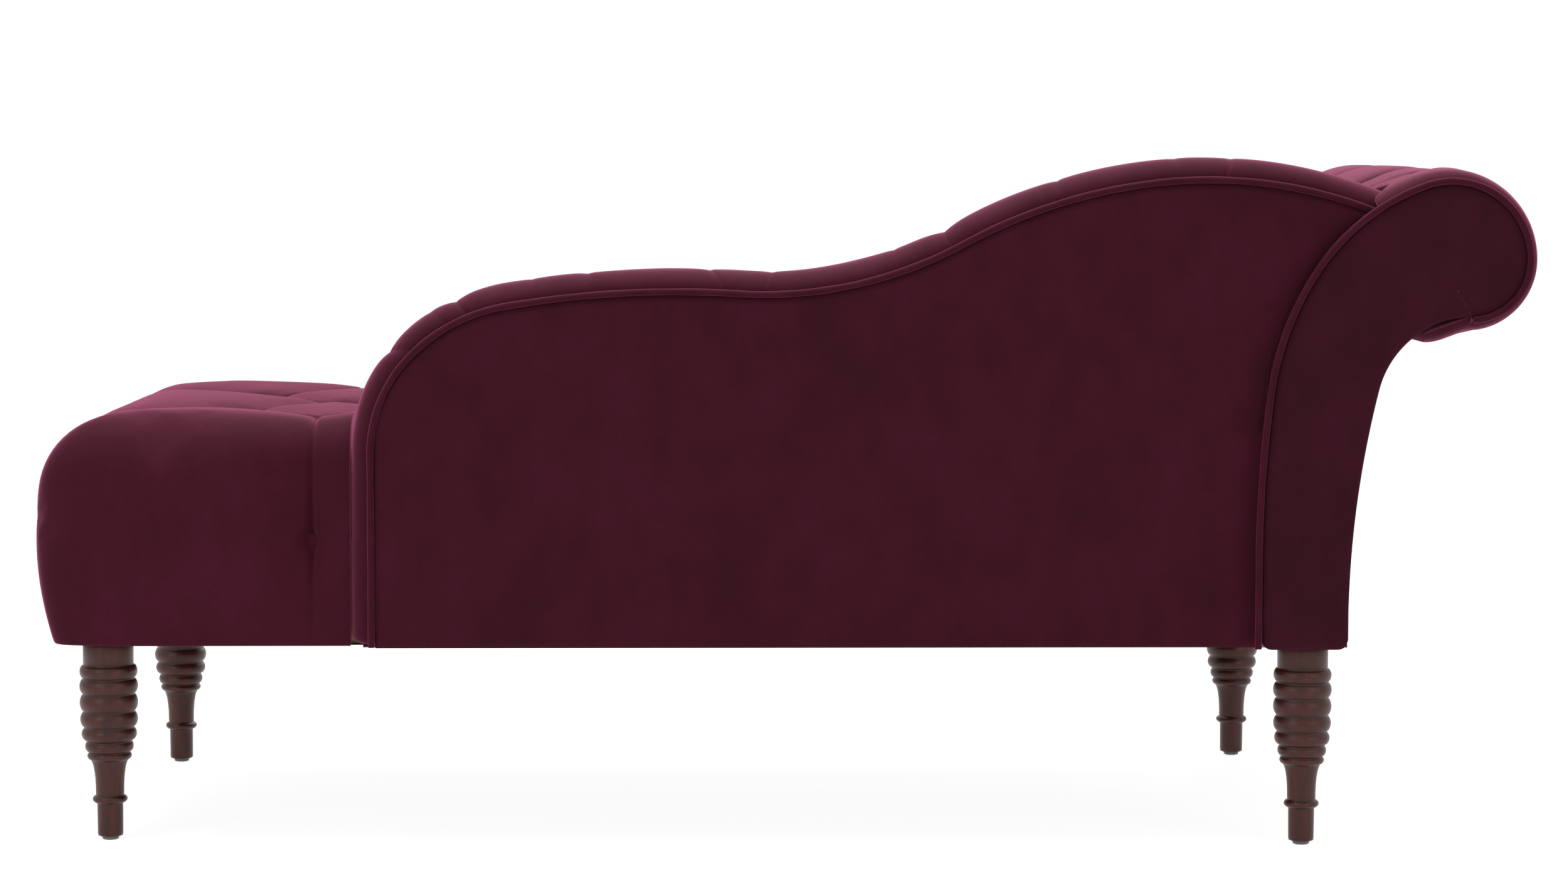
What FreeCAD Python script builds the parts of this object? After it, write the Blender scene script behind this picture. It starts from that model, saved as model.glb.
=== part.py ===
import FreeCAD, Part
import math
import os
import re

from FreeCAD import Placement, Rotation, Vector

# Chaise longue with a scroll arm, a wave-topped back and four turned legs.
# Millimetres. +X runs to the open foot end, -X to the scroll arm, -Y to the sitter's open side,
# +Y to the plain piped rear, +Z up. The origin is on the floor under the middle of the whole piece.

doc = FreeCAD.newDocument("ChaiseLongue")
sheet = doc.addObject("Spreadsheet::Sheet", "Sizes")

SIZES = {
    # whole piece
    "foot_face_x": 840,
    "seat_half_depth": 325,
    "seat_top_z": 488,
    "frame_bottom_z": 228,
    "lining_thick": 2,
    "soft_gap": 0.3,
    "fabric_thick": 3,
    # seat frame and deck
    "rail_thick": 20,
    "rail_high": 110,
    "foot_pad": 28,
    "side_pad": 17,
    "cross_rail_high": 90,
    "cross_rail_x": 60,
    "cross_rail_pitch": 420,
    "block_long": 70,
    "block_wide": 60,
    "block_high": 60,
    "web_wide": 50,
    "web_thick": 2,
    "web_first_x": -475,
    "web_pitch": 150,
    "felt_thick": 3,
    "seat_corner_round": 60,
    "seat_edge_bevel": 30,
    # tufting
    "button_dia": 22,
    "button_high": 5,
    "button_turn_angle": 30,
    "tuft_pitch_x": 105,
    "tuft_pitch_y": 125,
    "tuft_depth": 22,
    "tuft_lip": 2,
    "tuft_half": 32,
    "tuft_floor": 26,
    "side_tuft_depth": 6,
    "side_tuft_half": 19,
    "side_button_z": 344,
    "foot_button_y": 190,
    "back_tuft_depth": 15,
    "back_tuft_half": 28,
    "back_tuft_z": 572,
    "back_tuft_rise": 95,
    "arm_tuft_depth": 7.5,
    # back
    "back_depth": 115,
    "back_end_x": 482,
    "back_side_z": 443,
    "crest_inset": 25,
    "welt_thick": 7.5,
    "shoulder_radius": 183,
    "shoulder_angle": 45.4,
    "brow_radius": 219,
    "brow_angle": 34.8,
    "saddle_radius": 1143,
    "saddle_angle": 13.4,
    "dip_radius": 437,
    "dip_angle": 32.1,
    "rise_radius": 616,
    "rise_angle": 21.3,
    "crown_radius": 534,
    "crown_angle": 27.6,
    "crown_run_on": 75,
    "board_inset": 22,
    "back_board_thick": 15,
    "board_recess": 10,
    "hardboard_thick": 3,
    "hardboard_inset": 44,
    "post_wide": 45,
    "post_foot_inset": 72,
    "post_head_inset": 77,
    "window_wide": 120,
    "window_high": 150,
    "window_z": 400,
    "window_side": 100,
    # scroll arm
    "arm_overhang": 25,
    "arm_inner_x": -537,
    "stem_thick": 94.5,
    "scroll_straight": 97.3,
    "scroll_radius_low": 1504,
    "scroll_angle_low": 7.05,
    "scroll_radius_mid": 319.6,
    "scroll_angle_mid": 27.1,
    "scroll_radius_top": 231,
    "scroll_angle_top": 36,
    "roll_radius": 83,
    "roll_under_radius": 61,
    "stem_straight": 27,
    "stem_bend_z": 516.2,
    "stem_angle": 13.7,
    "stem_angle_top": 60,
    "scroll_board_thick": 18,
    "arm_pad": 15,
    "facing_thick": 17.7,
    "welt_out": 5,
    "welt_proud": 1.4,
    "base_rail_high": 45,
    "tie_rail_thick": 22,
    "slat_wide": 45,
    "slat_thick": 12,
    "slat_sink": 4.6,
    # legs
    "glide_high": 4,
    "glide_dia": 19,
    "foot_leg_inset_x": 78,
    "foot_leg_inset_y": 47,
    "head_leg_inset_x": 43.5,
    "head_leg_inset_y": 30,
    "collar_dia": 57,
    "collar_high": 24,
    "bead_dia": 65.5,
    "bead_pitch": 17.2,
    "bead_groove": 2.8,
    "bead_shrink": 2.6,
    "neck_dia": 50,
    "neck_high": 10,
    "flare_high": 22,
    "waist_dia": 31.5,
    "ankle_ring_dia": 39,
    "ankle_ring_z": 46,
    "ankle_ring_high": 12,
    "toe_dia": 29,
}

DERIVED = {
    "arm_half_depth": "=seat_half_depth + arm_overhang",
    "arm_outer_x": "=arm_inner_x - stem_thick",
    "back_rear_y": "=arm_half_depth",
    "back_front_y": "=back_rear_y - back_depth",
    "post_first_x": "=back_end_x - post_foot_inset",
    "post_pitch": "=(post_first_x - arm_inner_x - post_head_inset) / 2",
    "foot_leg_x": "=foot_face_x - foot_leg_inset_x",
    "foot_leg_y": "=seat_half_depth - foot_leg_inset_y",
    "head_leg_x": "=arm_outer_x + head_leg_inset_x",
    "head_leg_y": "=arm_half_depth - head_leg_inset_y",
}

ALL_SIZES = {**SIZES, **DERIVED}
for row, (alias, content) in enumerate(ALL_SIZES.items(), start=1):
    sheet.set("A%d" % row, alias)
    sheet.set("B%d" % row, str(content))
    sheet.setAlias("B%d" % row, alias)
doc.recompute()

nodes = []
SIDES = (("rear", ""), ("front", "-"))


def val(alias):
    """The number that the sheet holds under this alias."""
    return float(sheet.get(alias))


def bind(part, **formulas):
    """Tie properties of a part to sums of sheet values, such as Length='rail_thick + web_thick'."""
    for prop, formula in formulas.items():
        linked = re.sub(r"[a-z_]+", lambda m: "Sizes." + m.group() if m.group() in ALL_SIZES else m.group(),
                        formula)
        part.setExpression(prop.replace("_at_", ".Base."), linked)


def node(part, label):
    part.Label = label
    nodes.append(part)
    return part


def box(name, length, width, height, x, y, z):
    part = doc.addObject("Part::Box", name)
    bind(part, Length=length, Width=width, Height=height,
         Placement_at_x=x, Placement_at_y=y, Placement_at_z=z)
    return part


def cut(name, base, tool):
    part = doc.addObject("Part::Cut", name)
    part.Base = base
    part.Tool = tool
    return part


def common(name, base, tool):
    part = doc.addObject("Part::Common", name)
    part.Base = base
    part.Tool = tool
    return part


def fuse(name, parts):
    part = doc.addObject("Part::MultiFuse", name)
    part.Shapes = parts
    part.Refine = True
    return part


def group(name, parts):
    part = doc.addObject("Part::Compound", name)
    part.Links = parts
    return part


def plane_of(body, role):
    return next(item for item in body.Origin.OriginFeatures if item.Role == role)


def sketch_on(body, name, curves, role="XY_Plane"):
    sketch = body.newObject("Sketcher::SketchObject", name)
    sketch.AttachmentSupport = (plane_of(body, role), [""])
    sketch.MapMode = "FlatFace"
    sketch.addGeometry(curves, False)
    return sketch


def padded_outline(name, curves, thickness, base=None, upright=True):
    """A body whose outline is drawn in its own XY plane and padded along its own +Z.
    Upright, the body is turned so that the outline stands in X and Z and the pad grows towards -Y."""
    body = doc.addObject("PartDesign::Body", name)
    sketch = sketch_on(body, name + "_outline", curves)
    pad = body.newObject("PartDesign::Pad", name + "_pad")
    pad.Profile = sketch
    bind(pad, Length=thickness)
    if upright:
        body.Placement = Placement(Vector(), Rotation(Vector(1, 0, 0), 90))
    if base is not None:
        bind(body, **{"Placement_at_y" if upright else "Placement_at_z": base})
    return body


def polygon(points):
    ends = points[1:] + points[:1]
    return [Part.LineSegment(Vector(*a, 0), Vector(*b, 0)) for a, b in zip(points, ends)]


def run(start, heading, steps):
    """Lines and arcs that follow on without a corner. A step is ('line', length) or (radius, degrees);
    a positive radius turns left. Returns the curves and the end point and heading."""
    at = Vector(*start, 0)
    turn = math.radians(heading)
    curves = []
    for first, second in steps:
        ahead = Vector(math.cos(turn), math.sin(turn), 0)
        if first == "line":
            end = at + ahead * second
            curves.append(Part.LineSegment(at, end))
        else:
            side = Vector(-math.sin(turn), math.cos(turn), 0)
            centre = at + side * first
            sweep = math.copysign(math.radians(second), first)
            spokes = [turn + sweep * share for share in (0.5, 1.0)]
            middle, end = (centre + Vector(math.sin(a), -math.cos(a), 0) * first for a in spokes)
            curves.append(Part.Arc(at, middle, end))
            turn += sweep
        at = end
    return curves, (at.x, at.y), math.degrees(turn)


def line(a, b):
    return Part.LineSegment(Vector(*a, 0), Vector(*b, 0))


# Outlines of the back


def crest(inset):
    """The wave along the top of the back, as tangent arcs: shoulder, brow, saddle, dip, rise and crown."""
    arcs = []
    for name in ("shoulder", "brow", "saddle", "dip", "rise", "crown"):
        radius = val(name + "_radius")
        signed = -(radius + inset) if name == "dip" else radius - inset
        arcs.append((signed, val(name + "_angle")))
    return arcs


def back_outline(inset, bottom):
    """The closed outline of the back, inset from its soft edge and run on into the arm."""
    start = (val("back_end_x") - inset, bottom)
    steps = [("line", val("back_side_z") - bottom)] + crest(inset) + [("line", val("crown_run_on"))]
    curves, end, _ = run(start, 90, steps)
    corner = (end[0], bottom)
    return curves + [line(end, corner), line(corner, start)]


def back_solid(name, inset, bottom, front, rear):
    """The back's outline as a solid between two depths."""
    return padded_outline(name, back_outline(inset, bottom), "(%s) - (%s)" % (rear, front), rear)


def back_welt_run(grow, bottom):
    """The welt's path up the open end of the back and along its crest, short of the arm."""
    inset = val("crest_inset") - grow
    start = (val("back_end_x") - inset, bottom)
    return run(start, 90, [("line", val("back_side_z") - bottom)] + crest(inset))


# Outlines of the scroll arm


def scroll_run(grow, bottom):
    """From the foot of the arm up its inner side, over the roll and under it to the crease."""
    start = (val("arm_inner_x") + grow, bottom)
    steps = [("line", val("frame_bottom_z") + val("scroll_straight") - bottom)]
    turned = 0
    for name in ("low", "mid", "top"):
        turn = val("scroll_angle_" + name)
        steps.append((val("scroll_radius_" + name) + grow, turn))
        turned += turn
    steps.append((val("roll_radius") + grow, 180 - turned))
    steps.append((val("roll_under_radius") + grow, 90))
    return run(start, 90, steps)


def stem_run(grow, bottom, top):
    """From the foot of the arm up its outer side to a height under the roll. The first arc bends
    outwards up to the bend, and the second would end level with the underside of the roll."""
    start = (val("arm_outer_x") - grow, bottom)
    angle = val("stem_angle")
    rise = math.sin(math.radians(angle))
    start_z = val("frame_bottom_z") + val("stem_straight")
    low = ((val("stem_bend_z") - start_z) / rise - grow, angle)
    curves, end, heading = run(start, 90, [("line", start_z - bottom), low])
    radius = (roll_bottom(0) - val("stem_bend_z")) / (1 - rise) - grow
    centre_z = end[1] - radius * rise
    reach = math.degrees(math.asin(min(1, (top - centre_z) / radius))) - (heading - 90)
    more, end, _ = run(end, heading, [(radius, min(reach, val("stem_angle_top")))])
    return curves + more, end


def roll_bottom(grow):
    """The height of the underside of the roll."""
    return scroll_run(grow, val("frame_bottom_z"))[1][1]


def facing_grow():
    """How far the facing panel reaches past the scroll board, up to the welt round it."""
    return val("welt_out") - val("welt_thick") / 2 - val("soft_gap")


def arm_outline(grow, bottom):
    """The closed side outline of the arm."""
    inner, under, _ = scroll_run(grow, bottom)
    outer, crease = stem_run(grow, bottom, under[1])
    foot = (val("arm_outer_x") - grow, bottom)
    start = (val("arm_inner_x") + grow, bottom)
    return inner + [line(under, crease)] + outer + [line(foot, start)]


def roll_band(low, high, bottom):
    """A sheet wrapped round the roll between two distances from the board, from its foot to the crease."""
    curves = []
    ends = []
    for grow in (low, high):
        inner, under, _ = scroll_run(grow, bottom)
        _, crease = stem_run(facing_grow() + val("fabric_thick"), bottom, under[1])
        curves += inner + [line(under, crease)]
        ends.append(((val("arm_inner_x") + grow, bottom), crease))
    return curves + [line(ends[0][0], ends[1][0]), line(ends[0][1], ends[1][1])]


def arm_welt_run(grow, bottom):
    return scroll_run(val("welt_out") + grow, bottom)


def behind_arm(gap):
    """All that lies behind the arm's inner side and below its roll, to trim what butts against it."""
    bottom = val("frame_bottom_z") - val("rail_high")
    slope = scroll_run(gap, bottom)[0][:5]
    top = slope[-1].EndPoint
    far = -2 * val("foot_face_x")
    return slope + [line((top.x, top.y), (far, top.y)), line((far, top.y), (far, bottom)),
                    line((far, bottom), (val("arm_inner_x") + gap, bottom))]


def welt(name, path, thickness, rear):
    """A plain welt cord that follows a run of lines and arcs, drawn at half its width to each side."""
    half = val("welt_thick") / 2
    bottom = val("frame_bottom_z") - val("lining_thick")
    sides = [path(grow, bottom) for grow in (-half, half)]
    curves = sides[0][0] + sides[1][0]
    starts = [side[0][0].StartPoint for side in sides]
    curves.append(line((starts[0].x, starts[0].y), (starts[1].x, starts[1].y)))
    curves.append(line(sides[0][1], sides[1][1]))
    return padded_outline(name, curves, thickness, rear)


# Seat frame and deck

seat_head_x = "arm_inner_x"
frame_side_y = "(seat_half_depth - side_pad)"
frame_foot_x = "(foot_face_x - foot_pad)"
deck_z = "(frame_bottom_z + rail_high + web_thick + felt_thick)"


def make_seat_frame():
    long_side = "%s - %s" % (frame_foot_x, seat_head_x)
    inner_half = "(%s - rail_thick)" % frame_side_y
    for side, y in (("rear", inner_half), ("front", "-" + frame_side_y)):
        name = "seat_rail_" + side
        node(box(name, long_side, "rail_thick", "rail_high", seat_head_x, y, "frame_bottom_z"), name)
    between = "2 * " + inner_half
    for end, x in (("foot", frame_foot_x + " - rail_thick"), ("head", seat_head_x)):
        name = "seat_rail_" + end
        node(box(name, "rail_thick", between, "rail_high", x, "-" + inner_half, "frame_bottom_z"), name)
    for number in range(2):
        rail = box("seat_cross_rail_%d" % (number + 1), "rail_thick", between, "cross_rail_high",
                   "cross_rail_x + (%g) * cross_rail_pitch" % (number - 0.5), "-" + inner_half,
                   "frame_bottom_z")
        node(rail, "seat_cross_rail_%d" % (number + 1))


def make_corner_blocks():
    inner_half = "(%s - rail_thick)" % frame_side_y
    for end, x in (("foot", frame_foot_x + " - rail_thick - block_long"),
                   ("head", seat_head_x + " + rail_thick")):
        for side, y in (("rear", inner_half + " - block_wide"), ("front", "-" + inner_half)):
            name = "corner_block_%s_%s" % (end, side)
            node(box(name, "block_long", "block_wide", "block_high", x, y, "frame_bottom_z"), name)


def make_deck():
    straps = []
    for number in range(9):
        strap = box("web_strap_%d" % (number + 1), "web_wide", "2 * " + frame_side_y, "web_thick",
                    "web_first_x + %d * web_pitch - web_wide / 2" % number, "-" + frame_side_y,
                    "frame_bottom_z + rail_high")
        straps.append(strap)
    node(group("seat_webbing", straps), "seat_webbing")
    felt = box("seat_felt", "%s - %s" % (frame_foot_x, seat_head_x), "2 * " + frame_side_y,
               "felt_thick", seat_head_x, "-" + frame_side_y,
               "frame_bottom_z + rail_high + web_thick")
    node(felt, "seat_felt")


# Tufting


def seat_tufts():
    """Top tufts of the seat: two outer rows with a staggered row between them, as diamonds."""
    step_x = val("tuft_pitch_x")
    step_y = val("tuft_pitch_y")
    top = val("seat_top_z")
    places = [(column, row) for column in range(6, -5, -2) for row in (-1, 1)]
    places += [(column, 0) for column in range(5, -4, -2)]
    return [(Vector(column * step_x, row * step_y, top), Vector(0, 0, 1)) for column, row in places]


def side_tufts():
    """Side tufts of the seat as places and outward directions: open side, rear corner and foot."""
    step_x = val("tuft_pitch_x")
    half = val("seat_half_depth")
    z = val("side_button_z")
    spots = [(Vector(column * step_x, -half, z), Vector(0, -1, 0)) for column in range(5, -4, -2)]
    spots.append((Vector(5 * step_x, half, z), Vector(0, 1, 0)))
    for sign in (-1, 1):
        spots.append((Vector(val("foot_face_x"), sign * val("foot_button_y"), z), Vector(1, 0, 0)))
    return spots


def back_tufts():
    """Tufts on the inside of the back: a long lower row and two more under the crown."""
    step = val("tuft_pitch_x")
    y = val("back_front_y")
    low = val("back_tuft_z")
    high = low + val("back_tuft_rise")
    spots = [(column * step, low) for column in (3, 1, -1, -3)]
    spots += [(column * step, high) for column in (-2, -4)]
    return [(Vector(x, y, z), Vector(0, -1, 0)) for x, z in spots]


def arm_tufts():
    """Tufts on the inner slope of the arm, square to its curve, in two staggered rows."""
    slope = scroll_run(val("arm_pad"), val("frame_bottom_z"))[0][2]
    spots = []
    for share, columns in ((0.45, (-2.5, -0.5)), (0.98, (-1.5, 0.5))):
        point, out = along(slope, share)
        for column in columns:
            spots.append((Vector(point.x, column * val("tuft_pitch_y"), point.y), Vector(out.x, 0, out.y)))
    return spots


def along(arc, share):
    """A point at a share of an arc's length, and the direction away from the arc's centre there."""
    parameter = arc.FirstParameter + share * (arc.LastParameter - arc.FirstParameter)
    point = arc.value(parameter)
    return point, (point - arc.toShape().Curve.Center).normalize()


def square_on(direction, spin):
    """The rotation that turns +Z to a direction, after a spin about it."""
    return Rotation(Vector(0, 0, 1), direction).multiply(Rotation(Vector(0, 0, 1), spin))


def tuft_pocket(name, place, direction, depth, half, grow):
    """A four-sided pocket on its point, with sloping walls and a flat floor for the button.
    Grown, it is the same pocket for the layer that lies that much deeper."""
    floor = val("tuft_floor") / 2
    slope = (half - floor) / depth
    lip = val("tuft_lip")
    wide = half + grow * math.sqrt(1 + slope ** 2)
    mouth = wide + slope * lip
    bottom = wide - slope * (depth + grow)
    pocket = doc.addObject("Part::Wedge", name)
    pocket.Xmin, pocket.Xmax, pocket.Zmin, pocket.Zmax = -bottom, bottom, -bottom, bottom
    pocket.X2min, pocket.X2max, pocket.Z2min, pocket.Z2max = -mouth, mouth, -mouth, mouth
    pocket.Ymin, pocket.Ymax = -(depth + grow), lip
    upright = Rotation(Vector(1, 0, 0), 90)
    pocket.Placement = Placement(place, square_on(direction, 45).multiply(upright))
    return pocket


def pockets(name, spots, depth, half, grow):
    parts = []
    for number, (place, direction) in enumerate(spots, start=1):
        parts.append(tuft_pocket("%s_%d" % (name, number), place, direction, depth, half, grow))
    return parts


def buttons(label, rows):
    """Covered buttons, as low six-sided tablets that rest on the floors of their pockets."""
    parts = []
    for spots, depth in rows:
        for place, direction in spots:
            tablet = doc.addObject("Part::Prism", "%s_%d" % (label[:-1], len(parts) + 1))
            tablet.Polygon = 6
            bind(tablet, Circumradius="button_dia / 2", Height="button_high")
            tablet.Placement = Placement(place - direction * depth, square_on(direction, val("button_turn_angle")))
            parts.append(tablet)
    node(group(label, parts), label)


# Soft parts of the seat

low_z = "frame_bottom_z - lining_thick"
bevel_step = 2 - math.sqrt(2)


def seat_block(name, inset, bottom, top):
    """The seat's soft form: a long block, widened to the rear past the end of the back,
    with round outer corners and a bevelled top edge wherever it is free."""
    head = val("arm_inner_x") + val("arm_pad") + val("soft_gap") + inset
    foot = val("foot_face_x") - inset
    front = -val("seat_half_depth") + inset
    lobe = val("seat_half_depth") - inset
    rear = val("back_front_y") - val("soft_gap") - inset
    back_end = val("back_end_x") + val("soft_gap") + inset
    outline = [(head, front), (foot, front), (foot, lobe), (back_end, lobe), (back_end, rear),
               (head, rear)]
    body = padded_outline(name, polygon(outline), "(%s) - (%s)" % (top, bottom), bottom, upright=False)
    pad = body.Group[-1]
    doc.recompute()

    def is_corner(edge):
        a, b = (vertex.Point for vertex in edge.Vertexes)
        return abs(a.x - foot) < 0.01 and abs(b.x - foot) < 0.01 and abs(a.z - b.z) > 1

    corners = body.newObject("PartDesign::Fillet", name + "_corners")
    corners.Base = (pad, edge_names(pad, is_corner))
    corners.Radius = val("seat_corner_round") - inset
    doc.recompute()
    high = float(pad.Length)

    def is_free_top(edge):
        points = [vertex.Point for vertex in edge.Vertexes]
        points.append(edge.valueAt((edge.FirstParameter + edge.LastParameter) / 2))
        on_top = all(abs(p.z - high) < 0.01 for p in points)
        free = [abs(p.y - front) < 0.01 or p.x > back_end + 0.01 or abs(p.y - lobe) < 0.01
                for p in points]
        return on_top and all(free)

    bevel = body.newObject("PartDesign::Chamfer", name + "_top_edge")
    bevel.Base = (corners, edge_names(corners, is_free_top))
    bevel.Size = val("seat_edge_bevel") - bevel_step * inset
    return body


def edge_names(feature, test):
    """Names of a feature's edges that pass a test, in the body's own coordinates."""
    shape = feature.Shape.copy()
    shape.Placement = Placement()
    return ["Edge%d" % number for number, edge in enumerate(shape.Edges, start=1)
            if len(edge.Vertexes) == 2 and test(edge)]


def under_deck(name):
    """The room below the deck that the seat frame, the arm's foot and the back's foot take up."""
    frame = box(name + "_frame", "2 * foot_face_x + %s + soft_gap" % frame_foot_x,
                "2 * (%s + soft_gap)" % frame_side_y, deck_z + " + soft_gap",
                "-2 * foot_face_x", "-%s - soft_gap" % frame_side_y, "0")
    back = box(name + "_back", "2 * foot_face_x + back_end_x + soft_gap", "back_rear_y",
               deck_z + " + soft_gap", "-2 * foot_face_x", "0", "0")
    return fuse(name, [frame, back])


def make_seat_soft_parts():
    fabric = val("fabric_thick")
    gap = val("soft_gap")
    depth = val("tuft_depth")
    side_depth = val("side_tuft_depth")
    tops = seat_tufts()
    sides = side_tufts()

    def tufted(name, grow):
        tool = pockets(name + "_top", tops, depth, val("tuft_half"), grow)
        tool += pockets(name + "_side", sides, side_depth, val("side_tuft_half"), grow)
        return group(name, tool)

    outer = seat_block("seat_form", 0, low_z, "seat_top_z")
    inner = seat_block("seat_form_inside", fabric, low_z + " - lining_thick", "seat_top_z - fabric_thick")
    outer = cut("seat_form_tufted", outer, tufted("seat_pocket", 0))
    inner = cut("seat_form_inside_tufted", inner, tufted("seat_pocket_inside", fabric))
    shell = cut("seat_shell", outer, inner)
    node(cut("seat_cover", shell, under_deck("seat_room")), "seat_cover")

    foam_top = "seat_top_z - fabric_thick - soft_gap"
    foam = seat_block("seat_foam_form", fabric + gap, deck_z + " + soft_gap", foam_top)
    node(cut("seat_foam", foam, tufted("seat_pocket_foam", fabric + gap)), "seat_foam")
    border = seat_block("border_form", fabric + gap, "frame_bottom_z", foam_top)
    above = box("border_above", "4 * foot_face_x", "4 * foot_face_x", "seat_top_z",
                "-2 * foot_face_x", "-2 * foot_face_x", deck_z)
    border = cut("border_low", border, fuse("border_tools", [under_deck("border_room"), above]))
    tool = group("border_pocket", pockets("border_tuft", sides, side_depth, val("side_tuft_half"),
                                          fabric + gap))
    node(cut("seat_border_foam", border, tool), "seat_border_foam")
    buttons("seat_buttons", [(tops, depth), (sides, side_depth)])


# Back

board_rear = "(back_rear_y - board_recess)"


def trimmed_by_arm(name, part):
    """What is left of a part of the back in front of the arm's inner side."""
    tool = padded_outline(name + "_arm_side", behind_arm(val("soft_gap")), "2 * back_rear_y",
                          "2 * back_rear_y")
    return cut(name, part, tool)


def post_x(number):
    return "(post_first_x - %d * post_pitch)" % number


def make_back_frame():
    """A plywood back board with windows, posts in front of it that stand against the rear rail,
    and a hardboard panel that carries the padding."""
    low = val("frame_bottom_z")
    board = back_solid("back_board_blank", val("board_inset"), low,
                       board_rear + " - back_board_thick", board_rear)
    windows = []
    for number in range(4):
        bay = "post_first_x - %g * post_pitch" % (number // 2 + 0.5)
        side = "+" if number % 2 == 0 else "-"
        windows.append(box("back_window_%d" % (number + 1), "window_wide", "back_board_thick",
                           "window_high", "%s %s window_side - window_wide / 2" % (bay, side),
                           board_rear + " - back_board_thick", "window_z"))
    board = cut("back_board_open", board, group("back_board_windows", windows))
    node(trimmed_by_arm("back_board", board), "back_board")

    post_thick = "%s - back_board_thick - %s" % (board_rear, frame_side_y)
    room = back_solid("back_post_room", val("hardboard_inset"), low, frame_side_y, board_rear)
    for number in range(3):
        name = "back_post_%d" % (number + 1)
        blank = box(name + "_blank", "post_wide", post_thick, "seat_top_z",
                    post_x(number) + " - post_wide / 2", frame_side_y, "frame_bottom_z")
        node(common(name, blank, room), name)

    panel = back_solid("hardboard_blank", val("hardboard_inset"), deck_height() + val("soft_gap"),
                       frame_side_y + " - hardboard_thick", frame_side_y)
    node(trimmed_by_arm("back_inner_panel", panel), "back_inner_panel")


def deck_height():
    return val("frame_bottom_z") + val("rail_high") + val("web_thick") + val("felt_thick")


def make_back_soft_parts():
    fabric = val("fabric_thick")
    gap = val("soft_gap")
    low = val("frame_bottom_z") - val("lining_thick")
    spots = back_tufts()

    def tufted(name, grow):
        return group(name, pockets(name + "_tuft", spots, val("back_tuft_depth"),
                                   val("back_tuft_half"), grow))

    def foot_room(name):
        return box(name, "4 * foot_face_x", "back_front_y + %s + soft_gap" % frame_side_y,
                   deck_z + " + soft_gap", "-2 * foot_face_x", "-back_front_y", "0")

    outer = back_solid("back_form", 0, low, "back_front_y", board_rear + " + fabric_thick")
    inner = back_solid("back_form_inside", fabric, low - fabric, "back_front_y + fabric_thick", board_rear)
    outer = cut("back_form_tufted", outer, tufted("back_pocket", 0))
    inner = cut("back_form_inside_tufted", inner, tufted("back_pocket_inside", fabric))
    shell = cut("back_shell", outer, inner)
    opening = back_solid("back_opening", 2 * val("crest_inset"), low - fabric, board_rear + " - fabric_thick",
                         "back_rear_y")
    shell = cut("back_cover_open", shell, fuse("back_cover_tools", [opening, foot_room("back_cover_foot")]))
    node(trimmed_by_arm("back_cover", shell), "back_cover")

    foam = back_solid("back_foam_form", fabric + gap, val("frame_bottom_z"),
                     "back_front_y + fabric_thick + soft_gap", board_rear + " - soft_gap")
    foam = cut("back_foam_tufted", foam, tufted("back_pocket_foam", fabric + gap))
    recess = back_solid("back_foam_recess", val("board_inset") - gap, low,
                        frame_side_y + " - hardboard_thick - soft_gap", board_rear)
    foam = cut("back_foam_open", foam, fuse("back_foam_tools", [recess, foot_room("back_foam_foot")]))
    node(trimmed_by_arm("back_foam", foam), "back_foam")
    buttons("back_buttons", [(spots, val("back_tuft_depth"))])

    panel_front = board_rear + " + fabric_thick + soft_gap"
    inset = val("crest_inset") + val("welt_thick") / 2 + gap
    panel = back_solid("rear_panel_blank", inset, low, panel_front, "back_rear_y")
    node(trimmed_by_arm("back_rear_panel", panel), "back_rear_panel")
    cord = welt("back_welt", back_welt_run, "welt_thick", panel_front + " + welt_thick")
    node(trimmed_by_arm("back_piping", cord), "back_piping")


# Scroll arm

arm_inner_half = "(arm_half_depth - scroll_board_thick)"


def make_arm_frame():
    for side, rear in (("rear", "arm_half_depth"), ("front", "scroll_board_thick - arm_half_depth")):
        name = "arm_scroll_board_" + side
        outline = arm_outline(0, val("frame_bottom_z"))
        node(padded_outline(name, outline, "scroll_board_thick", rear), name)
    base = box("arm_base_rail", "arm_inner_x - arm_outer_x", "2 * " + arm_inner_half, "base_rail_high",
               "arm_outer_x", "-" + arm_inner_half, "frame_bottom_z")
    node(base, "arm_base_rail")
    tie = box("arm_tie_rail", "tie_rail_thick", "2 * " + arm_inner_half, "rail_high - base_rail_high",
              "arm_inner_x - tie_rail_thick", "-" + arm_inner_half, "frame_bottom_z + base_rail_high")
    node(tie, "arm_tie_rail")
    make_arm_slats()


def make_arm_slats():
    """Slats between the scroll boards, each set flush with the curve that it carries the pad over."""
    bottom = val("frame_bottom_z")
    inner = scroll_run(-val("slat_sink"), bottom)[0]
    outer = stem_run(-val("slat_sink") / 2, bottom, roll_bottom(0))[0]
    slope, shoulder, roll, under = inner[2:]
    stem = outer[1]
    stations = [(slope, 0.05, 1), (slope, 0.75, 1), (shoulder, 0.45, 1), (roll, 0.02, 1), (roll, 0.5, 1),
                (roll, 0.95, 1), (under, 0.6, 1), (stem, 0.35, -1), (stem, 0.8, -1)]
    slats = []
    for number, (curve, share, facing) in enumerate(stations, start=1):
        point, out = along(curve, share)
        slat = doc.addObject("Part::Box", "arm_slat_%d" % number)
        bind(slat, Length="slat_wide", Width="2 * " + arm_inner_half, Height="slat_thick")
        spin = Rotation(Vector(0, 0, 1), Vector(out.x * facing, 0, out.y * facing))
        middle = Vector(val("slat_wide") / 2, val("arm_half_depth") - val("scroll_board_thick"),
                        val("slat_thick"))
        slat.Placement = Placement(Vector(point.x, 0, point.y) - spin.multVec(middle), spin)
        slats.append(slat)
    node(group("arm_slats", slats), "arm_slats")


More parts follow.
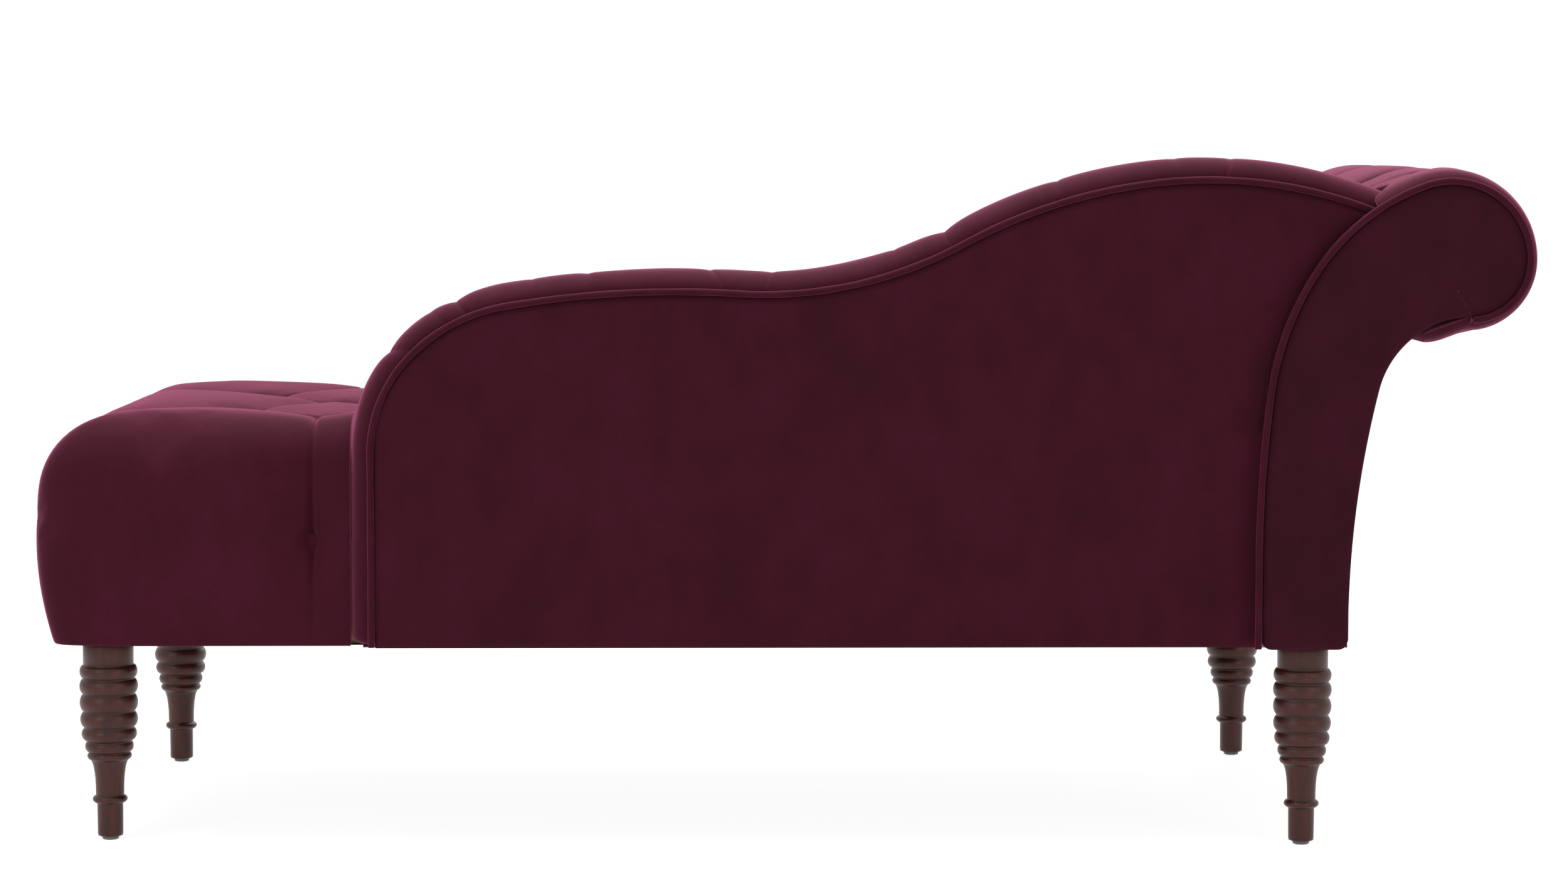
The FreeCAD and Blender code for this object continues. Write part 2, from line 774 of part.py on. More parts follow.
def make_arm_soft_parts():
    """The pad and cover over the roll, which stop at the back, and the plain panels of the arm."""
    gap = val("soft_gap")
    fabric = val("fabric_thick")
    pad = val("arm_pad")
    low = val("frame_bottom_z") - val("lining_thick")
    spots = arm_tufts()

    def band(name, inside, outside, bottom):
        return padded_outline(name, roll_band(inside, outside, bottom), "2 * arm_half_depth",
                              "arm_half_depth")

    def tufted(name, grow):
        return group(name, pockets(name + "_tuft", spots, val("arm_tuft_depth"),
                                   val("side_tuft_half"), grow))

    def taken(name):
        foot = box(name + "_foot", "foot_face_x", "2 * foot_face_x", deck_z + " + soft_gap",
                   "arm_inner_x - foot_face_x / 2", "-seat_half_depth - soft_gap", "0")
        back = back_solid(name + "_back", -gap, low - pad, "back_front_y - soft_gap", "2 * back_rear_y")
        return fuse(name, [foot, back])

    outer = cut("arm_skin_tufted", band("arm_skin", gap, pad, low), tufted("arm_pocket", 0))
    inner = cut("arm_skin_inside_tufted", band("arm_skin_inside", -gap, pad - fabric, low - fabric),
                tufted("arm_pocket_inside", fabric))
    shell = cut("arm_shell", outer, inner)
    node(cut("arm_cover", shell, taken("arm_cover_room")), "arm_cover")
    foam = cut("arm_foam_tufted", band("arm_foam_form", gap, pad - fabric - gap, val("frame_bottom_z")),
               tufted("arm_pocket_foam", fabric + gap))
    node(cut("arm_foam", foam, taken("arm_foam_room")), "arm_foam")
    buttons("arm_buttons", [(spots, val("arm_tuft_depth"))])

    top = roll_bottom(pad) - gap
    outer, crease = stem_run(fabric + gap, low, top)
    inner, edge = stem_run(gap, low, top)
    foot = line((val("arm_outer_x") - fabric - gap, low), (val("arm_outer_x") - gap, low))
    panel = padded_outline("arm_outside_panel", outer + inner + [foot, line(crease, edge)],
                           "2 * arm_half_depth", "arm_half_depth")
    node(panel, "arm_outside_panel")

    for side, sign in SIDES:
        facing = "facing_thick" if side == "rear" else "0"
        seat = "%s(arm_half_depth + soft_gap) + %s" % (sign, facing)
        name = "arm_facing_" + side
        node(padded_outline(name, arm_outline(facing_grow(), low), "facing_thick", seat), name)
        proud = "welt_proud + facing_thick" if side == "rear" else "welt_thick - welt_proud - facing_thick"
        name = "arm_piping_" + side
        seat = "%s(arm_half_depth + soft_gap) + %s" % (sign, proud)
        node(welt(name, arm_welt_run, "welt_thick", seat), name)


# Legs and what holds them


def leg_places():
    return [(end + "_leg_x", sign + end + "_leg_y") for end in ("foot", "head") for _, sign in SIDES]


def leg_profile():
    """Half the section of a turned leg, from the foot up: toe, ankle ring, waist, neck bead,
    six beads of which the lower ones shrink, and a plain collar."""
    top = val("frame_bottom_z") - val("lining_thick")
    foot = val("glide_high")
    ring_z = val("ankle_ring_z")
    half_ring = val("ankle_ring_high") / 2
    toe, waist, ring, neck, collar = (
        val(name + "_dia") / 2 for name in ("toe", "waist", "ankle_ring", "neck", "collar"))
    beads = bead_levels()
    neck_top = beads[0][0]
    half_neck = val("neck_high") / 2
    points = [(0, foot), (toe, foot), (toe, ring_z - half_ring), (ring, ring_z),
              (waist, ring_z + half_ring), (waist, neck_top - 2 * half_neck - val("flare_high")),
              (neck - val("bead_groove"), neck_top - 2 * half_neck), (neck, neck_top - half_neck)]
    for bottom, height, crown in beads:
        points += [(crown - val("bead_groove"), bottom), (crown, bottom + height / 2)]
    points += [(collar, top - val("collar_high")), (collar, top), (0, top)]
    return polygon(points)


def bead_levels():
    """The beads from the lowest up, as lower height, own height and crown radius."""
    pitch = val("bead_pitch")
    start = val("frame_bottom_z") - val("lining_thick") - val("collar_high") - 6 * pitch
    shrink = val("bead_shrink")
    full = val("bead_dia") / 2
    return [(start + number * pitch, pitch, full - shrink * max(0, 2 - number)) for number in range(6)]


def make_legs():
    legs = []
    glides = []
    for number, (x, y) in enumerate(leg_places(), start=1):
        body = doc.addObject("PartDesign::Body", "leg_%d" % number)
        sketch = sketch_on(body, "leg_profile_%d" % number, leg_profile(), "XZ_Plane")
        turned = body.newObject("PartDesign::Revolution", "leg_turning_%d" % number)
        turned.Profile = sketch
        turned.ReferenceAxis = (sketch, ["V_Axis"])
        turned.Angle = 360
        bind(body, Placement_at_x=x, Placement_at_y=y)
        legs.append(body)
        glide = doc.addObject("Part::Prism", "leg_glide_%d" % number)
        glide.Polygon = 12
        bind(glide, Circumradius="glide_dia / 2", Height="glide_high", Placement_at_x=x, Placement_at_y=y)
        glides.append(glide)
    node(group("legs", legs), "legs")
    node(group("leg_glides", glides), "leg_glides")


def make_lining():
    """The dust lining under the frame, out to the covers all round."""
    hem = val("fabric_thick") + val("soft_gap")
    corner = val("seat_corner_round") - hem
    side = val("seat_half_depth") - hem
    foot = val("foot_face_x") - hem
    head = val("arm_inner_x")
    seat_head = head + val("arm_pad") + val("soft_gap") + hem
    stem = val("arm_outer_x")
    wide = val("arm_half_depth")
    beside = val("back_end_x") + val("soft_gap") + hem
    rail = val("seat_half_depth") - val("side_pad")
    back_end = val("back_end_x") - hem
    rear = val("back_rear_y") - val("board_recess") - val("soft_gap")
    steps = [("line", foot - seat_head - corner), (corner, 90), ("line", 2 * (side - corner)),
             (corner, 90), ("line", foot - corner - beside)]
    curves, _, _ = run((seat_head, -side), 0, steps)
    points = [(beside, side), (beside, rail), (back_end, rail), (back_end, rear), (head, rear), (head, wide), (stem, wide), (stem, -wide),
              (head, -wide), (head, -rail), (seat_head, -rail), (seat_head, -side)]
    curves += [line(a, b) for a, b in zip(points, points[1:])]
    node(padded_outline("dust_lining", curves, "lining_thick", low_z, upright=False), "dust_lining")


make_seat_frame()
make_corner_blocks()
make_deck()
make_seat_soft_parts()
make_back_frame()
make_back_soft_parts()
make_arm_frame()
make_arm_soft_parts()
make_legs()
make_lining()
doc.recompute()

for item in doc.Objects:
    if "Invalid" in item.State or "Error" in item.State:
        raise RuntimeError("%s did not rebuild" % item.Label)
for part in nodes:
    if part.Shape.isNull() or not part.Shape.isValid() or not part.Shape.Solids:
        raise RuntimeError("%s has no sound solid" % part.Label)

os.makedirs("parts", exist_ok=True)
for part in nodes:
    part.Shape.exportStep("parts/%s.step" % part.Label)
    print("%-26s %2d solids %12.0f mm3" % (part.Label, len(part.Shape.Solids), part.Shape.Volume))
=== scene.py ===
import math

import bmesh
import bpy
import numpy as np
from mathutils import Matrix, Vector


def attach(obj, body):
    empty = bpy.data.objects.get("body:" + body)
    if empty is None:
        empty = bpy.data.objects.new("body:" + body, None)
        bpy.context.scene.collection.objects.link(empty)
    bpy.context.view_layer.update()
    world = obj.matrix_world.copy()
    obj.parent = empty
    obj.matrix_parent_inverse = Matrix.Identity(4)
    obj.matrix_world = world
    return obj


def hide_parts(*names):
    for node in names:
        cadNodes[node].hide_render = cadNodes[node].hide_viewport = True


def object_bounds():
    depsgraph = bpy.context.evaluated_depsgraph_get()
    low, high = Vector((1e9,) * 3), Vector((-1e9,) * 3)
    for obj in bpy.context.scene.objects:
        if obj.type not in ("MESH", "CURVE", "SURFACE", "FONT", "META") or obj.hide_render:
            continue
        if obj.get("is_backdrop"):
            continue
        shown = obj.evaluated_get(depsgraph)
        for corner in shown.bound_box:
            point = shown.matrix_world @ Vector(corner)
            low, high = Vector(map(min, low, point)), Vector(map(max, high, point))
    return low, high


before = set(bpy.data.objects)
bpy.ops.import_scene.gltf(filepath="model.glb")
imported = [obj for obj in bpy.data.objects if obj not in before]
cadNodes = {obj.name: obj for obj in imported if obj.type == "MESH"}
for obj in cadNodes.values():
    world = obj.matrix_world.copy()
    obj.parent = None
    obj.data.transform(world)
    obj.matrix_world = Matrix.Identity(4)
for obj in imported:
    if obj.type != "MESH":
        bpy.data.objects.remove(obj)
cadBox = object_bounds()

# Chaise longue in burgundy velvet, seen from its plain piped rear. Shapes are worked out in
# millimetres as numpy surfaces and put into meshes in metres.

mm = 0.001
scene = bpy.context.scene


# Colours and nodes


def linear(hexColour):
    # sRGB hex to linear: c/12.92 below 0.04045, else ((c + 0.055) / 1.055) ** 2.4
    parts = [int(hexColour[i:i + 2], 16) / 255 for i in (1, 3, 5)]
    return [c / 12.92 if c <= 0.04045 else ((c + 0.055) / 1.055) ** 2.4 for c in parts] + [1.0]


def newMaterial(name):
    # an empty node material with Blender's own Principled shader and output
    material = bpy.data.materials.new(name)
    material.use_nodes = True
    return material


def addNode(material, kind, inputs=None, **settings):
    # settings are the node's own properties; inputs go to its sockets, and a socket is linked
    node = material.node_tree.nodes.new("ShaderNode" + kind)
    for name, value in settings.items():
        setattr(node, name, value)
    for name, value in (inputs or {}).items():
        if isinstance(value, bpy.types.NodeSocket):
            material.node_tree.links.new(value, node.inputs[name])
        else:
            node.inputs[name].default_value = value
    return node


def dress(material, inputs):
    # values and links for the material's own Principled shader
    shader = material.node_tree.nodes["Principled BSDF"]
    for name, value in inputs.items():
        if isinstance(value, bpy.types.NodeSocket):
            material.node_tree.links.new(value, shader.inputs[name])
        else:
            shader.inputs[name].default_value = value
    return shader


def ramp(material, factor, stops):
    # colour by factor, straight between stops of (place, colour)
    node = addNode(material, "ValToRGB", {"Fac": factor})
    points = node.color_ramp.elements
    while len(points) < len(stops):
        points.new(0.5)
    for point, (place, colour) in zip(points, stops):
        point.position = place
        point.color = colour
    return node.outputs["Color"]


def patternSpace(material, stretch=(1, 1, 1)):
    # the object's own metres, squeezed per axis
    place = addNode(material, "TexCoord").outputs["Object"]
    return addNode(material, "Mapping", {"Vector": place, "Scale": stretch}).outputs[0]


def noise(material, space, size, detail=3.0, roughness=0.5):
    # size is the width of one blotch in millimetres
    return addNode(material, "TexNoise", {"Vector": space, "Scale": 1 / (size * mm), "Detail": detail,
                                          "Roughness": roughness}).outputs["Fac"]


velvetLook = {
    "deep": "#3c091a",       # pile seen end on
    "body": "#430c20",       # pile at rest
    "brushed": "#4a0f26",    # pile laid flat by a hand
    "sheen": "#ee7dab",      # light caught by the tips
    "blotchSize": 120,
    "streakSize": 38,
    "tipSize": 1.6,          # real pile is 0.3 mm; drawn coarser so that it shows
}


def velvetMaterial(name, tone=1.0, sheenWeight=0.85, grain=(1, 1, 0.6)):
    # Dyed cut-pile polyester velvet: dark face on, pink where the tips catch light, faint hand marks.
    # Colour follows blotch * streak, times a speck of single tufts; tips and streaks are also relief.
    material = newMaterial(name)
    look = velvetLook
    space = patternSpace(material, grain)
    blotch = noise(material, patternSpace(material), look["blotchSize"], 4, 0.6)
    streak = noise(material, space, look["streakSize"], 5, 0.62)
    tips = noise(material, patternSpace(material), look["tipSize"], 2, 0.5)
    nap = addNode(material, "Math", {0: blotch, 1: streak}, operation="MULTIPLY").outputs[0]
    shades = [[c * tone for c in linear(look[key])[:3]] + [1.0] for key in ("deep", "body", "brushed")]
    cloth = ramp(material, nap, [(0.14, shades[0]), (0.27, shades[1]), (0.46, shades[2])])
    speck = addNode(material, "MapRange", {"Value": tips, "From Min": 0.25, "From Max": 0.75,
                                           "To Min": 0.86, "To Max": 1.12}).outputs[0]
    colour = addNode(material, "VectorMath", {0: cloth, 1: speck}, operation="MULTIPLY").outputs[0]
    pileBump = addNode(material, "Bump", {"Height": tips, "Strength": 0.22, "Distance": 0.5 * mm})
    napBump = addNode(material, "Bump", {"Height": streak, "Strength": 0.35, "Distance": 1.5 * mm,
                                         "Normal": pileBump.outputs[0]})
    dress(material, {"Base Color": colour, "Roughness": 0.88, "Specular IOR Level": 0.18,
                     "Sheen Weight": sheenWeight, "Sheen Roughness": 0.34,
                     "Sheen Tint": linear(look["sheen"]), "Normal": napBump.outputs[0]})
    return material


velvet = velvetMaterial("velvet_cut_pile")
panelVelvet = velvetMaterial("velvet_stretched_panel", 0.9, 0.6)
facingVelvetPaintedShade = velvetMaterial("velvet_arm_facing_painted_shade", 0.74, 0.45)   # a darker copy of the velvet: painted shade for the downward pile, which catches less light
weltVelvet = velvetMaterial("velvet_bias_welt", 0.95, 0.75, (1, 1, 1))


def grainMaterial(name, dark, light, grain, roughness, coat=0.0, rings=14, groove=None):
    # Wood cut along the grain: noise stretched by the grain for the figure, finer dark pores on it.
    # The colour turns darker where the piece's groove attribute nears 1, in the turned hollows.
    material = newMaterial(name)
    space = patternSpace(material, grain)
    figure = noise(material, space, rings, 5, 0.6)
    pores = noise(material, space, rings / 9, 3, 0.7)
    figureColour = ramp(material, figure, [(0.3, linear(dark)), (0.72, linear(light))])
    poreShade = addNode(material, "MapRange", {"Value": pores, "From Min": 0.3, "From Max": 0.6,
                                               "To Min": 0.78, "To Max": 1.06}).outputs[0]
    colour = addNode(material, "VectorMath", {0: figureColour, 1: poreShade}, operation="MULTIPLY").outputs[0]
    if groove:
        # darker towards a deep brown in the turned hollows
        hollow = addNode(material, "Attribute", attribute_name=groove).outputs["Fac"]
        hollowDarkened = addNode(material, "Mix", {"Factor": hollow, "A": colour, "B": linear("#24100e")},
                          data_type="RGBA")
        colour = hollowDarkened.outputs["Result"]
    bump = addNode(material, "Bump", {"Height": pores, "Strength": 0.12, "Distance": 0.4 * mm})
    dress(material, {"Base Color": colour, "Roughness": roughness, "Coat Weight": coat,
                     "Specular IOR Level": 0.3, "Coat Roughness": 0.25, "Normal": bump.outputs[0]})
    return material


# name, dark and light shade, grain's squeeze per axis, roughness
legWood = grainMaterial("beech_turned_walnut_stain", "#331009", "#542015", (1, 1, 0.12), 0.42,
                        coat=0.12, rings=9, groove="hollow")
frameWood = grainMaterial("pine_sawn", "#b98f5e", "#dcbc8c", (0.08, 1, 1), 0.75)
plywood = grainMaterial("birch_plywood", "#b08d62", "#d3b489", (0.1, 1, 0.5), 0.7)
hardboard = grainMaterial("hardboard_pressed", "#54392a", "#6b4a36", (1, 1, 1), 0.65, rings=5)


def plainMaterial(name, dark, light, size, roughness, bumpStrength, bumpDepth, detail=3.0):
    # a colour that varies between two shades in spots of one size, with the same spots as relief
    material = newMaterial(name)
    spots = noise(material, patternSpace(material), size, detail)
    colour = ramp(material, spots, [(0.35, linear(dark)), (0.65, linear(light))])
    bump = addNode(material, "Bump", {"Height": spots, "Strength": bumpStrength, "Distance": bumpDepth * mm})
    dress(material, {"Base Color": colour, "Roughness": roughness, "Normal": bump.outputs[0]})
    return material


# name, dark and light shade, spot size in mm, roughness, relief's strength and depth in mm
foam = plainMaterial("foam_open_cell", "#d9cfa8", "#ece3c2", 2.5, 0.95, 0.6, 1.0)
felt = plainMaterial("felt_recycled_wool", "#5c5a58", "#8d8a86", 4, 0.97, 0.5, 1.0, 6)
glidePlastic = plainMaterial("polyethylene_moulded_glide", "#77736f", "#8b8784", 3, 0.45, 0.1, 0.2)
liningCloth = plainMaterial("polypropylene_nonwoven", "#1b1a1c", "#2a292b", 1.2, 0.9, 0.4, 0.3)


def webbingMaterial(thread=3.0):
    # Woven jute and rubber webbing: warp * weft, two waves across each other, shows as a fine check
    material = newMaterial("jute_rubber_webbing")
    waves = {"Vector": patternSpace(material), "Scale": 5.2 / (thread * mm) / 20, "Distortion": 0.4}
    warp, weft = [addNode(material, "TexWave", waves, bands_direction=axis).outputs["Fac"] for axis in "XY"]
    check = addNode(material, "Math", {0: warp, 1: weft}, operation="MULTIPLY").outputs[0]
    colour = ramp(material, check, [(0.1, linear("#6d5a3c")), (0.6, linear("#b39b6f"))])
    bump = addNode(material, "Bump", {"Height": check, "Strength": 0.5, "Distance": 0.5 * mm})
    dress(material, {"Base Color": colour, "Roughness": 0.9, "Normal": bump.outputs[0]})
    return material


webbing = webbingMaterial()
print("stage: materials")


# Mesh tools


def gridFaces(index, closeColumns=False):
    # quads between the rows and columns of an array of vertex numbers
    if closeColumns:
        index = np.hstack([index, index[:, :1]])
    return np.stack([index[:-1, :-1], index[:-1, 1:], index[1:, 1:], index[1:, :-1]], -1).reshape(-1, 4)


def makePiece(name, points, faces, material, attributes=None, smooth=True):
    # points in millimetres; faces as lists of point numbers of any length
    mesh = bpy.data.meshes.new(name)
    mesh.from_pydata((np.asarray(points, float) * mm).tolist(), [], [list(map(int, f)) for f in faces])
    mesh.validate()
    mesh.polygons.foreach_set("use_smooth", np.full(len(mesh.polygons), smooth))
    for label, values in (attributes or {}).items():
        values = np.asarray(values, np.float32)
        kind, field = ("FLOAT", "value") if values.ndim == 1 else ("FLOAT_VECTOR", "vector")
        mesh.attributes.new(label, kind, "POINT").data.foreach_set(field, values.ravel())
    mesh.materials.append(material)
    piece = bpy.data.objects.new(name, mesh)
    scene.collection.objects.link(piece)
    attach(piece, "root")
    return piece


def faceOutward(piece):
    # turns the whole mesh over when its enclosed volume comes out negative
    mesh = piece.data
    mesh.calc_loop_triangles()
    corners = np.zeros(len(mesh.loop_triangles) * 3, np.int32)
    mesh.loop_triangles.foreach_get("vertices", corners)
    places = readPoints(mesh)
    places = (places - places.mean(0))[corners].reshape(-1, 3, 3)
    volume = np.einsum("ij,ij->i", places[:, 0], np.cross(places[:, 1], places[:, 2])).sum()
    if volume < 0:
        mesh.flip_normals()


def readPoints(mesh, scale=1.0):
    # as rows of x, y, z times scale, so 1 / mm gives millimetres
    flat = np.zeros(len(mesh.vertices) * 3, np.float32)
    mesh.vertices.foreach_get("co", flat)
    return flat.reshape(-1, 3).astype(float) * scale


def writePoints(mesh, points):
    mesh.vertices.foreach_set("co", (points * mm).astype(np.float32).ravel())
    mesh.update()


def readAttribute(mesh, label):
    # one number or a row of three for each point
    attribute = mesh.attributes[label]
    size, field = (1, "value") if attribute.data_type == "FLOAT" else (3, "vector")
    flat = np.zeros(len(mesh.vertices) * size, np.float32)
    attribute.data.foreach_get(field, flat)
    return flat.reshape(-1, size).astype(float).squeeze()


def readNormals(mesh):
    flat = np.zeros(len(mesh.vertices) * 3, np.float32)
    mesh.vertex_normals.foreach_get("vector", flat)
    return flat.reshape(-1, 3).astype(float)


# Paths in a plane


def walk(start, heading, steps, spacing=1.5):
    # straight runs and tangent arcs: an arc's points are its centre + radius * (sin, -cos) of the heading
    at = np.array(start, float)
    turn = math.radians(heading)
    parts = [at[None]]
    for first, second in steps:
        if first == "line":
            share = np.linspace(0, 1, max(2, int(second / spacing)))[1:, None]
            more = at + share * second * np.array([math.cos(turn), math.sin(turn)])
        else:
            sweep = math.copysign(math.radians(second), first)
            count = max(3, int(abs(first * sweep) / spacing))
            angle = turn + sweep * np.linspace(0, 1, count)[1:]
            centre = at + first * np.array([-math.sin(turn), math.cos(turn)])
            more = centre + first * np.stack([np.sin(angle), -np.cos(angle)], 1)
            turn += sweep
        parts.append(more)
        at = more[-1]
    return np.vstack(parts)


def pathLengths(path):
    # the length travelled to each point, 0 at the first
    return np.concatenate([[0], np.cumsum(np.linalg.norm(np.diff(path, axis=0), axis=1))])


def pointsAt(path, s):
    # the path's points at given lengths along it
    along = pathLengths(path)
    return np.stack([np.interp(s, along, path[:, k]) for k in range(path.shape[1])], -1)


def normalsAt(path, s):
    # the side to the right of the direction of travel, from a 3 mm chord
    ahead = pointsAt(path, np.asarray(s) + 1.5) - pointsAt(path, np.asarray(s) - 1.5)
    ahead /= np.maximum(np.linalg.norm(ahead, axis=-1, keepdims=True), 1e-9)
    return np.stack([ahead[..., 1], -ahead[..., 0]], -1)


def uneven(low, high, spacing, near=(), fine=0.25, reach=14):
    # places from low to high, closer together by the factor fine within reach of the given ones
    probe = np.linspace(low, high, 4000)
    density = np.full(probe.shape, 1.0)
    for place in near:
        density += (1 / fine - 1) * np.exp(-((probe - place) / reach) ** 2)
    total = np.concatenate([[0], np.cumsum((density[1:] + density[:-1]) / 2 * np.diff(probe))])
    count = max(2, int(round(total[-1] / spacing)) + 1)
    return np.interp(np.linspace(0, total[-1], count), total, probe)


def creaseDistance(points, creases):
    # For 2-D points: the distance to the nearest crease, its depth there, and the side the point is on.
    # A crease is (start, end, depth at start, depth at end), straight, its depth even between both.
    best = np.full(len(points), 1e6)
    depth = np.zeros(len(points))
    side = np.zeros(len(points))
    for start, end, deepStart, deepEnd in creases:
        start, end = np.array(start, float), np.array(end, float)
        span = end - start
        share = np.clip((points - start) @ span / (span @ span), 0, 1)
        away = points - (start + share[:, None] * span)
        distance = np.linalg.norm(away, axis=1)
        nearer = distance < best
        best = np.where(nearer, distance, best)
        depth = np.where(nearer, deepStart + share * (deepEnd - deepStart), depth)
        side = np.where(nearer, np.sign(span[0] * away[:, 1] - span[1] * away[:, 0]), side)
    return best, depth, side


def buttonDistance(points, places):
    # from each 2-D point to the nearest button
    away = points[:, None, :] - np.array(places, float)[None]
    return np.linalg.norm(away, axis=2).min(1)


# Padding


clothSettings = {"quality": 4, "mass": 0.35, "tension_stiffness": 12, "compression_stiffness": 12,
                 "shear_stiffness": 6, "bending_stiffness": 0.6, "use_pressure": True,
                 "vertex_group_mass": "held"}
clothFrames = 20


def swell(piece, held, sizes):
    # lets Cloth with inner pressure fill the pad out, then caps how far each point may have moved.
    # held runs from 0, free, to 1, pinned, and is kept in tenths as the pin group
    mesh = piece.data
    group = piece.vertex_groups.new(name="held")
    levels = np.round(np.clip(held, 0, 1) * 10).astype(int)
    for level in range(1, 11):
        group.add(np.nonzero(levels == level)[0].tolist(), level / 10, "REPLACE")
    before = readPoints(mesh, 1 / mm)
    cloth = piece.modifiers.new("padding", "CLOTH")
    for setting, value in clothSettings.items():
        setattr(cloth.settings, setting, value)
    cloth.settings.uniform_pressure_force = sizes["pressure"]
    cloth.settings.effector_weights.gravity = 0
    cloth.collision_settings.use_collision = False
    cloth.point_cache.frame_start = 1
    cloth.point_cache.frame_end = clothFrames
    for step in range(1, clothFrames + 1):
        scene.frame_set(step)
    graph = bpy.context.evaluated_depsgraph_get()
    after = readPoints(piece.evaluated_get(graph).data, 1 / mm)
    piece.modifiers.remove(cloth)
    scene.frame_set(1)
    moved = after - before
    distance = np.linalg.norm(moved, axis=1, keepdims=True)
    moved *= np.minimum(1, sizes["cap"] / np.maximum(distance, 1e-6))
    print("  swelled", piece.name, "by", round(float(distance.max()), 1), "mm, capped at", sizes["cap"])
    writePoints(mesh, before + moved)


def subdivide(piece):
    # one smooth subdivision, kept as the piece's own mesh
    modifier = piece.modifiers.new("round", "SUBSURF")
    modifier.levels = modifier.render_levels = 1
    graph = bpy.context.evaluated_depsgraph_get()
    mesh = bpy.data.meshes.new_from_object(piece.evaluated_get(graph), preserve_all_data_layers=True,
                                           depsgraph=graph)
    piece.modifiers.remove(modifier)
    piece.data = mesh
    piece.vertex_groups.clear()
    closeInside(mesh)


def closeInside(mesh):
    # one flat face shuts the opening that lies hidden against the frame
    work = bmesh.new()
    work.from_mesh(mesh)
    rim = [edge for edge in work.edges if edge.is_boundary]
    if rim:
        bmesh.ops.holes_fill(work, edges=rim, sides=0)
        work.to_mesh(mesh)
    work.free()


def padOut(piece, held, sizes):
    # the pad's coarse mesh filled out and rounded; gives the new points and normals
    faceOutward(piece)
    swell(piece, held, sizes)
    subdivide(piece)
    return readPoints(piece.data, 1 / mm), readNormals(piece.data)


def upholster(name, points, faces, carried, relief, hold, sizes):
    # A cover from its coarse form: broad hollows, padding, then the fine folds, each along the normals.
    # carried holds numbers for each point that it keeps while the mesh is divided.
    piece = makePiece(name, points, faces, velvet, carried)
    faceOutward(piece)
    height, distance, well = relief(points, carried, False)
    moved = points + readNormals(piece.data) * height[:, None]
    writePoints(piece.data, moved)
    points, normals = padOut(piece, hold(distance, well, moved), sizes)
    height, _, _ = relief(points, {label: readAttribute(piece.data, label) for label in carried}, True)
    writePoints(piece.data, points + normals * height[:, None])
    return piece


def fold(distance, depth, side, sizes):
    # a sewn-in fold: a narrow V with one lip that stands over the other
    groove = depth * sizes["foldShare"] * np.exp(-(distance / sizes["foldWidth"]) ** 2)
    lip = side * depth * sizes["lipShare"] * np.exp(-(distance / sizes["lipWidth"]) ** 1.5)
    return lip - groove


def valley(distance, depth, width):
    # the broad hollow along a fold, sharp at its bottom
    return -depth * np.exp(-(distance / width) ** 1.15)


def dent(distance, depth, width):
    # the round hollow that a button pulls in
    return -depth * np.exp(-(distance / width) ** 1.6)


def bell(distance, width):
    # 1 at no distance, falling off as a bell curve
    return np.exp(-(distance / width) ** 2)


def heldWhere(*shares):
    # the strongest hold of several
    strongest = shares[0]
    for share in shares[1:]:
        strongest = np.maximum(strongest, share)
    return strongest


def endCaps(number, count):
    # quads that shut the first and last row of a loop of count outer points and as many inner ones
    faces = []
    for line, turn in ((0, 1), (-1, -1)):
        top, under = number[line, :count], number[line, count:][::-1]
        faces += [list(f)[::turn] for f in zip(top[1:], top[:-1], under[:-1], under[1:])]
    return faces


print("stage: tools")


# Seat

seatSizes = {
    "head": -521.7, "foot": 838.0, "half": 325.0, "top": 485.0, "low": 226.0,
    "backFace": 234.6, "backEnd": 482.2,    # the long rear edge lies against the back
    "sideRound": 58, "footRound": 92, "sideDrop": 56, "footDrop": 92, "tuckRound": 22, "headRound": 7,
    "squareness": 0.54,                     # below 1 the corners are squarer than an ellipse
    "footTuck": 17, "footTuckZ": 345,       # below this height the foot end is drawn in
    "deck": 343.7, "frameGap": 16.6, "hem": 3.4, "edgeRows": 8,
    "spacing": 9.0, "wall": 9.0, "closingRows": 11, "pressure": 3.5, "cap": 7,
    "stepX": 105, "stepY": 125, "buttonZ": 344, "footButtonY": 190,
    "edgeFolds": (5, 3, 1, -1, -3),         # columns of stepX that run out over the edge
    "sideButtons": ((5, 1), (5, -1), (3, -1), (1, -1), (-1, -1), (-3, -1)),
    "foldDepth": 11, "wellDepth": 24, "wellWidth": 19, "valleyWidth": 24,
    "sideDepth": 10, "sideValley": 24, "sideWell": 15, "lastFold": 700,
    "foldShare": 0.32, "foldWidth": 3.2, "lipShare": 0.10, "lipWidth": 9,
}


